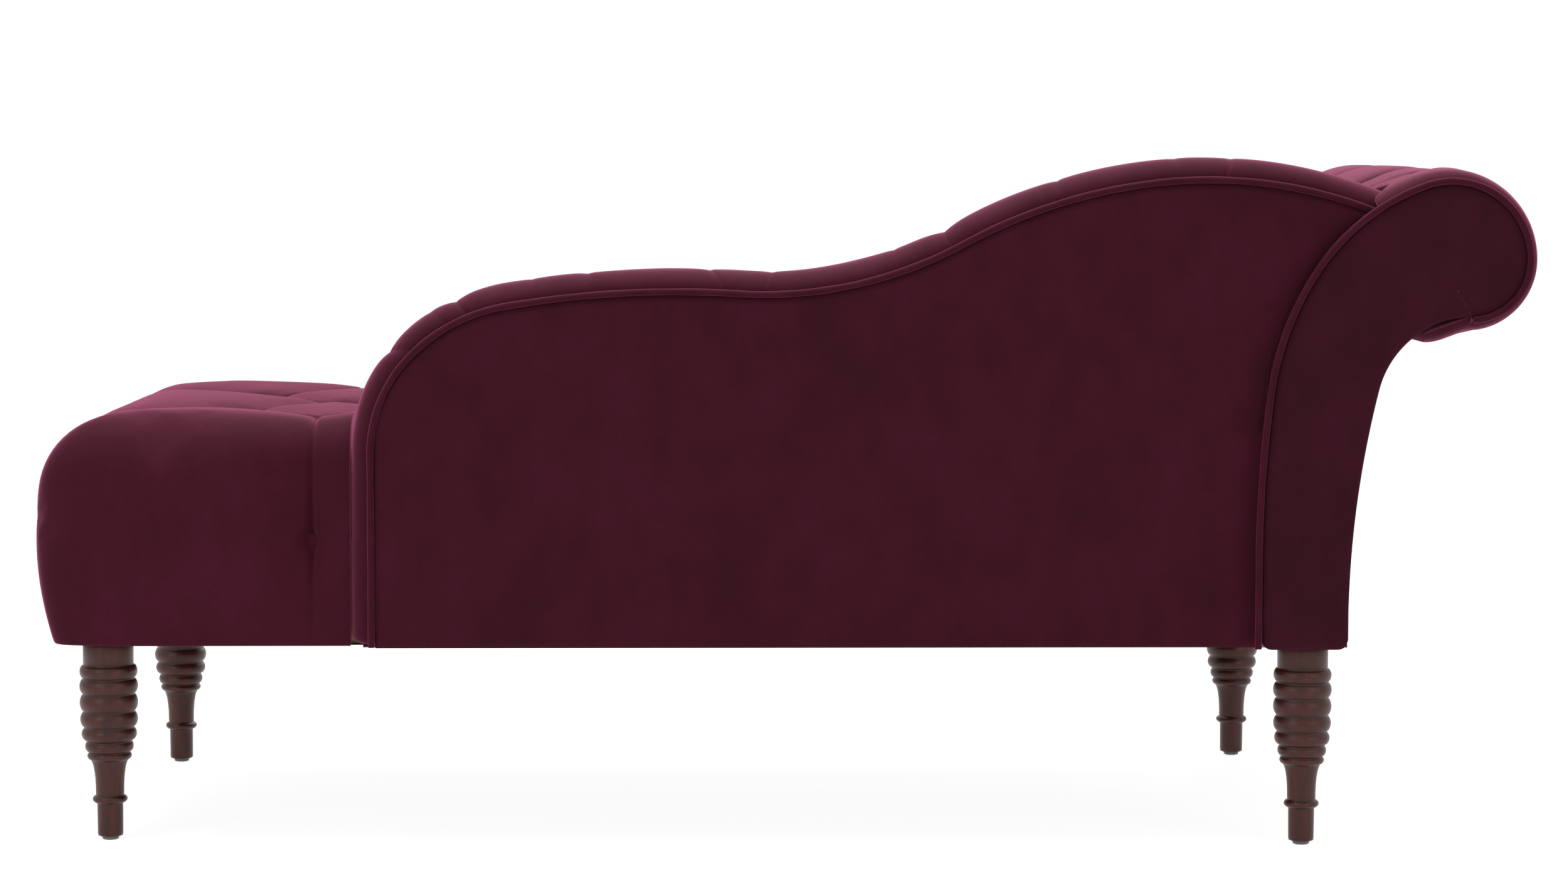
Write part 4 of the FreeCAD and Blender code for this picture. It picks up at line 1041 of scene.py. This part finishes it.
def makeArm(sizes, back):
    # length along the scroll by place across it; the pad stands off the scroll by a height that rounds
    # down to the welt at both edges, and a second sheet closes it against the boards
    base = scrollPath(sizes, 0)
    stem = stemPath(sizes, sizes["stemGrow"], base[-1, 1] - sizes["pad"])
    ground = pathLengths(base)
    creases, buttons = armCreases(sizes, scrollPath(sizes, sizes["pad"]))
    scale = pathLengths(scrollPath(sizes, sizes["pad"]))[-1] / ground[-1]
    edge, half, level = sizes["padEdge"], sizes["half"], sizes["level"]
    front, rear = sizes["clearFront"], sizes["clearRear"]
    y = np.concatenate([[-front - 0.2, -front + 0.2, rear - 0.2, rear + 0.2],
                        uneven(-level, level, sizes["spacing"], sizes["closeAt"], 0.4, 10)])
    rounded = level + (edge - level) * np.sin(np.linspace(0, math.pi / 2, 8)[1:])
    y = np.sort(np.concatenate([y, rounded, -rounded]))
    crest = backPath(back, 0, back["low"])
    onBack, _ = crossing(base, crest[len(crest) // 2:])
    # behind the back's front face the pad starts where the back's rounded top edge is
    forward = np.clip((y - back["front"]) / (back["crestY"] - back["front"]), 0, 1)
    behind = np.clip((y - back["crestY"]) / (back["rear"] - back["crestY"]), 0, 1)
    overBack = onBack - 6 - back["roll"] * (1 - np.sqrt(forward)) - back["weltInset"] * behind ** 2
    start = np.where(y < -front, 1.0, np.where(y < rear, sizes["aboveSeat"], overBack))
    end = ground[-1] + np.linalg.norm(base[-1] - stem[-1]) - 0.5
    share = np.linspace(0, 1, int(ground[-1] / sizes["spacing"]))[:, None]
    s = start[None] + share * (end - start)[None]
    out = normalsAt(np.vstack([base, base[-1:] + [[60, 0]]]), s)
    roundness = np.sqrt(np.clip(1 - ((np.abs(y) - level).clip(0) / (edge - level)) ** 2, 0, 1))
    thin = sizes["thin"]
    grow = thin + (sizes["pad"] - thin + sizes["crown"] * (1 - (y / half) ** 2)) * roundness
    # the pad thins out under the roll, where it comes to the stem
    ease = np.clip((end - s) / 26, 0, 1)
    grow = grow[None] * np.sqrt(1 - (1 - ease) ** 2 * 0.55)
    places = pointsAt(np.vstack([base, stem[-1:]]), s)
    skin = places + out * grow[..., None]
    inside = places + out * np.where(np.abs(y) > half, 1.6, 0.7)[None, :, None]
    across = np.repeat(y[None], len(share), 0)
    outer, inner = [np.stack([side[..., 0], across, side[..., 1]], -1) for side in (skin, inside)]
    loop = np.concatenate([outer, inner[:, ::-1]], axis=1)
    number = np.arange(loop.shape[0] * loop.shape[1]).reshape(loop.shape[:2])
    faces = gridFaces(number, True).tolist() + endCaps(number, len(y))
    plan = np.stack([s * scale, across], -1)
    plan = np.concatenate([plan, plan[:, ::-1]], axis=1).reshape(-1, 2)
    isOuter = np.concatenate([np.ones(across.shape), np.zeros(across.shape)], axis=1).ravel()

    def relief(_, carried, fine):
        plan, shows = carried["plan"][:, :2], carried["plan"][:, 2] > 0.6
        distance, depth, side = creaseDistance(plan, creases)
        well = buttonDistance(plan, buttons)
        if fine:
            height = fold(distance, depth, side, sizes)
        else:
            height = valley(distance, depth, sizes["valleyWidth"])
            height = height + dent(well, sizes["wellDepth"] - sizes["foldDepth"], sizes["wellWidth"])
        fades = shows * np.clip((edge - 6 - np.abs(plan[:, 1])) / 25, 0, 1)
        return height * fades, distance, well

    def hold(distance, well, moved):
        rows = np.repeat(np.arange(loop.shape[0]), loop.shape[1])
        return heldWhere(bell(distance, 6) * 0.7, bell(well, 14), isOuter < 0.5, np.abs(plan[:, 1]) > 345,
                         (rows < 3) | (rows > loop.shape[0] - 4))

    carried = {"plan": np.column_stack([plan, isOuter])}
    piece = upholster("arm_roll_cover", loop.reshape(-1, 3), faces, carried, relief, hold, sizes)
    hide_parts("arm_cover", "arm_foam")
    return piece


armPiece = makeArm(armSizes, backSizes)
print("stage: arm", len(armPiece.data.polygons), "faces")


# Plain panels


def edgeDistance(points, outline):
    # the distance of 2-D points from a closed outline, in slices that keep the arrays small
    best = np.full(len(points), 1e6)
    for start in range(0, len(points), 4000):
        part = points[start:start + 4000]
        best[start:start + 4000] = np.linalg.norm(part[:, None] - outline[None], axis=2).min(1)
    return best


def panelPiece(name, plan, crown, edge, rear, depth, flip, material, replaced):
    # a sheet over a grid of (x, z): it crowns towards its middle, drops to the seam at its edge, and is
    # closed by a second sheet at its back; flip -1 makes it face the front
    rows, columns = plan.shape[:2]
    flat = plan.reshape(-1, 2)
    outline = np.vstack([plan[0], plan[:, -1], plan[-1, ::-1], plan[::-1, 0]])
    away = edgeDistance(flat, outline)
    height = crown * (1 - np.exp(-away / 60)) - edge * np.exp(-(away / 4.5) ** 1.4)
    front = np.column_stack([flat[:, 0], flip * (rear + depth + height), flat[:, 1]])
    back = np.column_stack([flat[:, 0], np.full(len(flat), flip * rear), flat[:, 1]])
    number = np.arange(rows * columns).reshape(rows, columns)
    under = number + rows * columns
    rim = np.concatenate([number[0], number[1:, -1], number[-1, -2::-1], number[-2:0:-1, 0]])
    faces = gridFaces(number).tolist() + gridFaces(under)[:, ::-1].tolist()
    for a, b in zip(rim, np.roll(rim, -1)):
        faces.append([b, a, a + rows * columns, b + rows * columns])
    faces = [f for f in (list(dict.fromkeys(f)) for f in faces) if len(f) > 2]
    piece = makePiece(name, np.vstack([front, back]), faces, material)
    weld(piece)
    faceOutward(piece)
    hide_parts(replaced)
    return piece


def weld(piece):
    # joins points that lie on each other where a sheet runs out to a corner
    mesh = bmesh.new()
    mesh.from_mesh(piece.data)
    bmesh.ops.remove_doubles(mesh, verts=mesh.verts, dist=0.01 * mm)
    bmesh.ops.recalc_face_normals(mesh, faces=mesh.faces)
    mesh.to_mesh(piece.data)
    mesh.free()


panelSizes = {"inset": 29.0, "rear": 343.4, "depth": 6.6, "crown": 1.2, "edge": 4.5, "spacing": 7.0,
              "facingRear": 350.4, "facingDepth": 16.4, "facingCrown": 1.4, "facingEdge": 3.5,
              "footRound": 11.0}


def makeRearPanel(sizes, back, arm):
    # columns hang from the wave inside the welt and end on the arm's slope
    top = backPath(back, sizes["inset"], back["low"] + 1)
    slope = scrollPath(arm, 0.8)
    slope = slope[:int(np.argmax(slope[:, 1])) + 1]
    length, _ = crossing(top, slope)
    crest = pointsAt(top, uneven(back["sideZ"] - back["low"], length, sizes["spacing"]))
    x = crest[:, 0]
    bottom = np.where(x < armFoot(arm), np.interp(-x, -slope[:, 0], slope[:, 1]), back["low"] + 0.6)
    bottom = np.minimum(bottom, crest[:, 1] - 0.05)
    # rows lie closer where the panel drops to its seam
    share = np.concatenate([[0, 0.004, 0.008, 0.014], np.linspace(0.02, 0.98, 70), [0.986, 0.992, 0.996, 1]])
    z = bottom[None] + share[:, None] * (crest[:, 1] - bottom)[None]
    plan = np.stack([np.repeat(x[None], len(share), 0), z], -1)
    return panelPiece("back_rear_panel_velvet", plan, sizes["crown"], sizes["edge"], sizes["rear"],
                      sizes["depth"], 1, panelVelvet, "back_rear_panel")


def facingPlan(sizes, arm):
    # rungs from the inner side of the scroll to the stem, and on round the roll to where both meet
    inner = scrollPath(arm, arm["facingGrow"])
    stem = stemPath(arm, arm["facingGrow"], inner[-1, 1])
    innerLengths = pathLengths(inner)
    crease = stem[-1]
    # both sides meet a little past the roll's outermost point
    far = innerLengths[int(np.argmin(inner[:, 0]))] + 20
    under = inner[innerLengths > far][::-1]
    outerSide = np.vstack([stem, under])
    outerLengths = pathLengths(outerSide)
    neck = pathLengths(stem)[-1]
    # the rung from the crease ends on the inner side's nearest point to this one
    acrossNeck = crease + np.array([55, 95])
    opposite = innerLengths[int(np.argmin(np.linalg.norm(inner - acrossNeck, axis=1)))]
    knots = [0, 0.55, 1.0]
    share = np.linspace(0, 1, 150)
    a = pointsAt(inner, np.interp(share, knots, [0, opposite, far]))
    b = pointsAt(outerSide, np.interp(share, knots, [0, neck, outerLengths[-1]]))
    across = np.concatenate([[0, 0.02, 0.045, 0.08], np.linspace(0.12, 0.88, 18), [0.92, 0.955, 0.98, 1]])
    plan = a[:, None] * (1 - across[None, :, None]) + b[:, None] * across[None, :, None]
    # the two bottom corners are rounded
    low, r = arm["low"], sizes["footRound"]
    left, right = arm["outer"] - arm["facingGrow"], arm["inner"] + arm["facingGrow"]
    inset = np.clip(r - np.minimum(plan[..., 0] - left, right - plan[..., 0]), 0, r)
    lift = r - np.sqrt(np.maximum(r ** 2 - inset ** 2, 0))
    fade = np.clip(1 - (plan[..., 1] - low) / 60, 0, 1)
    plan[..., 1] += lift * fade
    return plan


outsideSizes = {"grow": 0.4, "top": 583.0, "edge": 350.2, "thick": 2.6, "bulge": 1.6, "drop": 2.2}


def makeOutsidePanel(sizes, arm):
    # the stem's outer curve carried across between the two facings; its height above the curve rises by
    # the bulge towards the middle and falls by the drop at both seams
    path = stemPath(arm, sizes["grow"], sizes["top"])
    s = np.linspace(0.5, pathLengths(path)[-1] - 0.5, 60)
    seam = np.array([sizes["edge"], 349, 347, 343])
    y = np.concatenate([-seam, np.linspace(-338, 338, 70), seam[::-1]])
    places, left = pointsAt(path, s), -normalsAt(path, s)
    away = sizes["edge"] - np.abs(y)
    height = sizes["thick"] + sizes["bulge"] * (1 - np.exp(-away / 40)) - sizes["drop"] * np.exp(-away / 3.0)
    outer = places[:, None] + left[:, None] * height[None, :, None]
    inner = places[:, None] + left[:, None] * 0.1 + np.zeros((1, len(y), 1))
    loop = np.concatenate([outer, inner[:, ::-1]], axis=1)
    across = np.concatenate([y, y[::-1]])
    points = np.stack([loop[..., 0], np.repeat(across[None], len(s), 0), loop[..., 1]], -1)
    number = np.arange(points.shape[0] * points.shape[1]).reshape(points.shape[:2])
    faces = gridFaces(number, True).tolist() + endCaps(number, len(y))
    piece = makePiece("arm_outside_panel_velvet", points.reshape(-1, 3), faces, panelVelvet)
    faceOutward(piece)
    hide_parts("arm_outside_panel")
    return piece


# black cloth stapled under the frame, a little inside the hem all round
liningSizes = {"half": 314, "armSide": 344, "rear": 334, "head": -624, "arm": -528, "back": 468,
               "foot": 812, "round": 34, "low": 226.3, "thick": 1.5}


def makeLining(sizes):
    # outline with quarter-circle foot corners, closed to a thin slab; wider under the arm and the back
    turn = np.linspace(0, math.pi / 2, 9)[:, None]
    inner = sizes["foot"] - sizes["round"]
    corner = sizes["round"] * np.hstack([np.sin(turn), np.cos(turn)])
    rear = corner + (inner, sizes["half"] - sizes["round"])
    front = (corner * (1, -1) + (inner, -(sizes["half"] - sizes["round"])))[::-1]
    stepped = [(sizes["arm"], -sizes["half"]), (sizes["arm"], -sizes["armSide"]),
               (sizes["head"], -sizes["armSide"]), (sizes["head"], sizes["armSide"]),
               (sizes["arm"], sizes["armSide"]), (sizes["arm"], sizes["rear"]),
               (sizes["back"], sizes["rear"]), (sizes["back"], sizes["half"])]
    outline = np.vstack([rear, front, stepped])
    count = len(outline)
    points = np.vstack([np.column_stack([outline, np.full(count, z)])
                        for z in (sizes["low"], sizes["low"] + sizes["thick"])])
    ring = [(i, (i + 1) % count, (i + 1) % count + count, i + count) for i in range(count)]
    faces = ring + [tuple(range(count))[::-1], tuple(range(count, 2 * count))]
    piece = makePiece("dust_lining_cloth", points, faces, liningCloth, smooth=False)
    faceOutward(piece)
    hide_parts("dust_lining")
    return piece


makeRearPanel(panelSizes, backSizes, armSizes)
makeLining(liningSizes)
facing = facingPlan(panelSizes, armSizes)
# the facings take the darker velvet copy, which paints shade on them
for end, flip in (("rear", 1), ("front", -1)):
    panelPiece("arm_facing_velvet_" + end, facing, panelSizes["facingCrown"], panelSizes["facingEdge"],
               panelSizes["facingRear"], panelSizes["facingDepth"], flip, facingVelvetPaintedShade, "arm_facing_" + end)
makeOutsidePanel(outsideSizes, armSizes)
print("stage: panels")


# Welts

weltSizes = {"radius": 3.75, "sides": 12, "spacing": 4.0, "wobble": 0.048, "backY": 347.2}


def makeWelt(name, path, y, replaced, sizes):
    # a round cord: circles carried along the path, their radius uneven by the product of two sines
    lengths = pathLengths(path)
    s = np.linspace(1.2, lengths[-1] - 1.2, int(lengths[-1] / sizes["spacing"]))
    places, side = pointsAt(path, s), normalsAt(path, s)
    angle = np.linspace(0, 2 * math.pi, sizes["sides"], endpoint=False)
    radius = sizes["radius"] * (1 + sizes["wobble"] * np.sin(s / 11) * np.sin(s / 29 + 1))
    rim = places[:, None] + np.cos(angle)[None, :, None] * side[:, None] * radius[:, None, None]
    ring = np.stack([rim[..., 0], y + np.sin(angle)[None] * radius[:, None], rim[..., 1]], -1)
    number = np.arange(ring.shape[0] * ring.shape[1]).reshape(ring.shape[:2])
    faces = gridFaces(number, True).tolist() + [number[0].tolist(), number[-1][::-1].tolist()]
    piece = makePiece(name, ring.reshape(-1, 3), faces, weltVelvet)
    faceOutward(piece)
    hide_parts(replaced)
    return piece


# the back's welt stops at the arm's; the arm's runs round the roll to the stem
backWeltPath = backPath(backSizes, backSizes["weltInset"], backSizes["low"] + 0.5)
weltStop, _ = crossing(backWeltPath, scrollPath(armSizes, 4.0))
backWeltPath = pointsAt(backWeltPath, np.arange(0, weltStop, 1.5))
armWeltPath = scrollPath(armSizes, armSizes["weltOut"])
armStem = stemPath(armSizes, armSizes["weltOut"], armWeltPath[-1, 1])
armWeltPath = np.vstack([armWeltPath, armStem[-1:]])
makeWelt("back_piping_cord", backWeltPath, weltSizes["backY"], "back_piping", weltSizes)
makeWelt("arm_piping_cord_rear", armWeltPath, armSizes["weltY"], "arm_piping_rear", weltSizes)
makeWelt("arm_piping_cord_front", armWeltPath, -armSizes["weltY"], "arm_piping_front", weltSizes)
print("stage: welts")


# Buttons


def surfaceNear(piece, place, direction):
    # where a line from outside along -direction first meets the piece, in millimetres
    start = (Vector(place) + Vector(direction) * 60) * mm
    hit, where, _, _ = piece.ray_cast(start, -Vector(direction), distance=0.2)
    return np.array(where) / mm if hit else np.array(place, float)


buttonSizes = {"radius": 11.0, "height": 6.5, "sunk": 1.0, "sides": 22,
               "under": ((0.86, -1.6), (0.5, -2.2))}   # share of the radius and height of the turned-in edge


def makeButtons(name, spots, host, replaced, sizes):
    # covered buttons: a half ellipse turned about each tuft's own direction, closed underneath
    turn = np.linspace(0, 1, 9)[1:] * math.pi / 2
    under = np.array(sizes["under"])
    radius = sizes["radius"] * np.concatenate([np.sin(turn), under[:, 0]])
    height = np.concatenate([sizes["height"] * np.cos(turn) ** 0.9, under[:, 1]])
    angle = np.linspace(0, 2 * math.pi, sizes["sides"], endpoint=False)
    points, faces = [], []
    for place, direction in spots:
        up = np.array(direction, float)
        across = np.cross(up, [0.3, 0.9, 0.1])
        across /= np.linalg.norm(across)
        third = np.cross(up, across)
        foot = surfaceNear(host, place, direction) - up * sizes["sunk"]
        circle = np.cos(angle)[:, None] * across + np.sin(angle)[:, None] * third
        rings = foot + up * height[:, None, None] + radius[:, None, None] * circle[None]
        start = sum(len(p) for p in points)
        number = start + 1 + np.arange(rings.shape[0] * rings.shape[1]).reshape(rings.shape[:2])
        points.append(np.vstack([[foot + up * sizes["height"]], rings.reshape(-1, 3)]))
        faces += gridFaces(number, True)[:, ::-1].tolist()
        faces += [[start, a, b] for a, b in zip(number[0], np.roll(number[0], -1))]
        faces.append(number[-1][::-1].tolist())
    piece = makePiece(name, np.vstack(points), faces, velvet)
    weld(piece)
    faceOutward(piece)
    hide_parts(replaced)
    return piece


seatTop = [((x, y, seatSizes["top"] - 5), (0, 0, 1)) for x, y in seatButtonPlaces(seatSizes)]
seatSide = [((seatSizes["stepX"] * column, side * seatSizes["half"], seatSizes["buttonZ"]), (0, side, 0))
            for column, side in seatSizes["sideButtons"]]
seatFoot = [((seatSizes["foot"], side * seatSizes["footButtonY"], seatSizes["buttonZ"]), (1, 0, 0))
            for side in (-1, 1)]
bpy.context.view_layer.update()
makeButtons("seat_tuft_buttons", seatTop + seatSide + seatFoot, seatPiece, "seat_buttons", buttonSizes)
backSpots = [((x, backSizes["front"], z), (0, -1, 0)) for x, z in backSizes["buttons"]]
makeButtons("back_tuft_buttons", backSpots, backPiece, "back_buttons", buttonSizes)
armPath = scrollPath(armSizes, armSizes["pad"])
_, armButtonPlaces = armCreases(armSizes, armPath)
armSpots = []
for s, y in armButtonPlaces:
    place, out = pointsAt(armPath, [s])[0], normalsAt(armPath, np.array([s]))[0]
    armSpots.append(((place[0], y, place[1]), (out[0], 0, out[1])))
makeButtons("arm_tuft_buttons", armSpots, armPiece, "arm_buttons", buttonSizes)
print("stage: buttons")


# Legs

legSizes = {
    "places": [(762, 278), (762, -278), (-588, 320), (-588, -320)],
    "top": 226.0, "foot": 4.0, "sides": 56,
    # beads from the top down: lower and upper height, crown and groove diameter
    "beads": [(184.5, 200.5, 65.2, 57.0), (167.0, 184.5, 65.9, 58.0), (147.0, 167.0, 65.6, 57.5),
              (129.0, 147.0, 64.9, 56.5), (113.5, 129.0, 62.3, 53.0), (100.5, 113.5, 54.8, 47.5),
              (91.5, 100.5, 50.2, 43.0)],
    "collar": 57.0, "neck": 39.4, "waist": 31.5, "ring": 38.7, "ringZ": 46.2, "ringHigh": 9.0, "toe": 28.6,
}


def legProfile(sizes):
    # from the foot up, as height, radius and hollowness: a toe, a ring, a swelling waist, and beads whose
    # sides are half ellipses between their grooves
    toe, waist = sizes["toe"] / 2, sizes["waist"] / 2
    z, r = [sizes["foot"], sizes["foot"] + 0.8], [toe - 2.2, toe - 0.4]
    hollow = [0.5, 0.1]
    low, high = sizes["ringZ"] - sizes["ringHigh"] / 2, sizes["ringZ"] + sizes["ringHigh"] / 2
    for height in np.linspace(sizes["foot"] + 3, low - 0.8, 8):
        z.append(height)
        r.append(toe + 0.3 * (height - sizes["foot"]) / 38)
        hollow.append(0.0)
    for t in np.linspace(0, 1, 13):
        z.append(low + t * (high - low))
        r.append(toe + 0.5 + (sizes["ring"] / 2 - toe - 0.5) * math.sin(math.pi * t) ** 0.6 + 0.6 * t)
        hollow.append(0.85 * abs(2 * t - 1) ** 5)
    neckLow = sizes["beads"][-1][0]
    for t in np.linspace(0.03, 0.97, 14):
        z.append(high + t * (neckLow - high))
        r.append(waist + 0.2 + (sizes["neck"] / 2 - waist) * t ** 2.6 + 1.4 * t ** 12)
        hollow.append(0.6 * t ** 14)
    for low, high, crown, groove in sizes["beads"][::-1]:
        for t in np.linspace(0, 1, 13)[:-1]:
            z.append(low + t * (high - low))
            r.append(groove / 2 + (crown - groove) / 2 * math.sin(math.pi * t) ** 0.62)
            hollow.append(abs(2 * t - 1) ** 7)
    z += [sizes["beads"][0][1], sizes["beads"][0][1] + 1.2, sizes["top"] - 1.0, sizes["top"]]
    r += [sizes["collar"] / 2 - 1.2, sizes["collar"] / 2, sizes["collar"] / 2, sizes["collar"] / 2 - 0.6]
    hollow += [1.0, 0.2, 0.0, 0.3]
    return np.array(z), np.array(r), np.array(hollow)


def turnedPieces(name, places, z, radius, hollow, material, slot, replaced, sides):
    # a profile turned about an upright axis at each place, closed at both ends; its points carry how
    # hollow the profile is there
    angle = np.linspace(0, 2 * math.pi, sides, endpoint=False)
    ring = np.stack([radius[:, None] * np.cos(angle), radius[:, None] * np.sin(angle),
                     np.repeat(z[:, None], sides, 1)], -1)
    points, faces, values = [], [], []
    for count, (x, y) in enumerate(places):
        start = count * ring.shape[0] * sides
        number = start + np.arange(ring.shape[0] * sides).reshape(ring.shape[:2])
        points.append(ring.reshape(-1, 3) + np.array([x, y, 0]))
        faces += gridFaces(number, True).tolist()
        faces += [number[0][::-1].tolist(), number[-1].tolist()]
        values.append(np.repeat(hollow, sides))
    piece = makePiece(name, np.vstack(points), faces, material, {"hollow": np.concatenate(values)})
    faceOutward(piece)
    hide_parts(replaced)
    return piece


turnedPieces("turned_legs", legSizes["places"], *legProfile(legSizes), legWood, "leg_wood", "legs",
             legSizes["sides"])
# the glide's heights and radii from the floor up
glide = np.array([(0.0, 7.6), (0.6, 9.0), (2.0, 9.5), (3.6, 9.5), (4.6, 9.3)])
turnedPieces("round_glides", legSizes["places"], *glide.T, np.zeros(len(glide)), glidePlastic, "glide",
             "leg_glides", 32)
print("stage: legs")


# Inner pieces keep their solids and take a finish

finishes = {
    frameWood: ["seat_rail_rear", "seat_rail_front", "seat_rail_foot", "seat_rail_head", "seat_cross_rail_1",
                "seat_cross_rail_2", "corner_block_foot_rear", "corner_block_foot_front",
                "corner_block_head_rear", "corner_block_head_front", "back_post_1", "back_post_2",
                "back_post_3", "arm_base_rail", "arm_tie_rail", "arm_slats"],
    plywood: ["back_board", "arm_scroll_board_rear", "arm_scroll_board_front"],
    hardboard: ["back_inner_panel"],
    felt: ["seat_felt"],
    webbing: ["seat_webbing"],
    foam: ["seat_foam", "seat_border_foam", "back_foam", "arm_foam"],
    velvet: ["seat_cover", "back_cover", "arm_cover", "seat_buttons", "back_buttons", "arm_buttons"],
}
for material, names in finishes.items():
    for name in names:
        for place in cadNodes[name].material_slots:
            place.material = material
print("stage: inner pieces")


# Floor, light and camera

floorSizes = {"span": 60.0, "colour": "#f4f3f2", "whitened": 0.5, "glow": 1.72}
worldSizes = {"lighting": 0.36, "seen": 1.0}


def seenDirectly(owner):
    # 1 for the rays of camera and gloss, 0 for those that only carry light
    rays = addNode(owner, "LightPath").outputs
    either = addNode(owner, "Math", {0: rays["Is Camera Ray"], 1: rays["Is Glossy Ray"]},
                     operation="MAXIMUM")
    return either.outputs[0]


def makeFloor(sizes):
    # pale matt floor; for camera and gloss a share of it glows white, so only the shadow shows
    half = sizes["span"] / 2
    mesh = bpy.data.meshes.new("floor")
    corners = [(-half, -half, 0), (half, -half, 0), (half, half, 0), (-half, half, 0)]
    mesh.from_pydata(corners, [], [(0, 1, 2, 3)])
    floor = bpy.data.objects.new("floor", mesh)
    scene.collection.objects.link(floor)
    material = newMaterial("painted_pale_floor")
    shader = dress(material, {"Base Color": linear(sizes["colour"]), "Roughness": 0.9,
                              "Specular IOR Level": 0.1})
    share = addNode(material, "Math", {0: seenDirectly(material), 1: sizes["whitened"]},
                    operation="MULTIPLY").outputs[0]
    white = addNode(material, "Emission", {"Color": (1, 1, 1, 1), "Strength": sizes["glow"]}).outputs[0]
    mixed = addNode(material, "MixShader", {"Fac": share, 1: shader.outputs[0], 2: white}).outputs[0]
    material.node_tree.links.new(mixed, material.node_tree.nodes["Material Output"].inputs["Surface"])
    mesh.materials.append(material)
    floor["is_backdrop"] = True


def makeWorld(sizes):
    # plain white, dimmer as a light than as a background
    world = bpy.data.worlds.new("studio")
    scene.world = world
    world.use_nodes = True
    background = world.node_tree.nodes["Background"]
    background.inputs["Color"].default_value = (1, 1, 1, 1)
    strength = addNode(world, "MapRange", {"Value": seenDirectly(world), "To Min": sizes["lighting"],
                                           "To Max": sizes["seen"]}).outputs[0]
    world.node_tree.links.new(strength, background.inputs["Strength"])


makeFloor(floorSizes)
makeWorld(worldSizes)


def softLight(name, place, aim, width, height, watts):
    # an upright or lying rectangle that faces the aim, all in metres
    lamp = bpy.data.lights.new(name, "AREA")
    lamp.shape = "RECTANGLE"
    lamp.size, lamp.size_y = width, height
    lamp.energy = watts
    lampObject = bpy.data.objects.new(name, lamp)
    lampObject.location = place
    lampObject.rotation_euler = (Vector(aim) - Vector(place)).to_track_quat("-Z", "Y").to_euler()
    scene.collection.objects.link(lampObject)


middle = (0, 0, 0.4)
softLight("overhead", (0.2, -0.3, 3.0), middle, 3.6, 2.4, 105)
softLight("rear_left", (2.6, 3.4, 1.9), middle, 2.0, 2.0, 22)
softLight("rear_right", (-2.8, 3.0, 1.6), middle, 1.6, 2.0, 14)
softLight("open_side", (-0.6, -3.6, 1.9), middle, 2.6, 2.0, 34)

# metres, degrees and millimetres, worked out from the photo's perspective
cameraSizes = {"place": (0.034, 4.6618, 0.7953), "pitch": 4.46, "yaw": 0.5, "lens": 89.28, "sensor": 36}
cameraData = bpy.data.cameras.new("camera")
cameraData.lens = cameraSizes["lens"]
cameraData.sensor_width = cameraSizes["sensor"]
cameraData.sensor_fit = "HORIZONTAL"
camera = bpy.data.objects.new("camera", cameraData)
scene.collection.objects.link(camera)
camera.location = cameraSizes["place"]
pitch, yaw = math.radians(cameraSizes["pitch"]), math.radians(cameraSizes["yaw"])
ahead = Vector((-math.sin(yaw) * math.cos(pitch), -math.cos(yaw) * math.cos(pitch), -math.sin(pitch)))
camera.rotation_euler = ahead.to_track_quat("-Z", "Y").to_euler()
scene.camera = camera
scene.view_settings.view_transform = "Standard"
print("stage: light and camera")

asLists = lambda box: [[float(c) for c in corner] for corner in box]
{"cad": asLists(cadBox), "visual": asLists(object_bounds())}
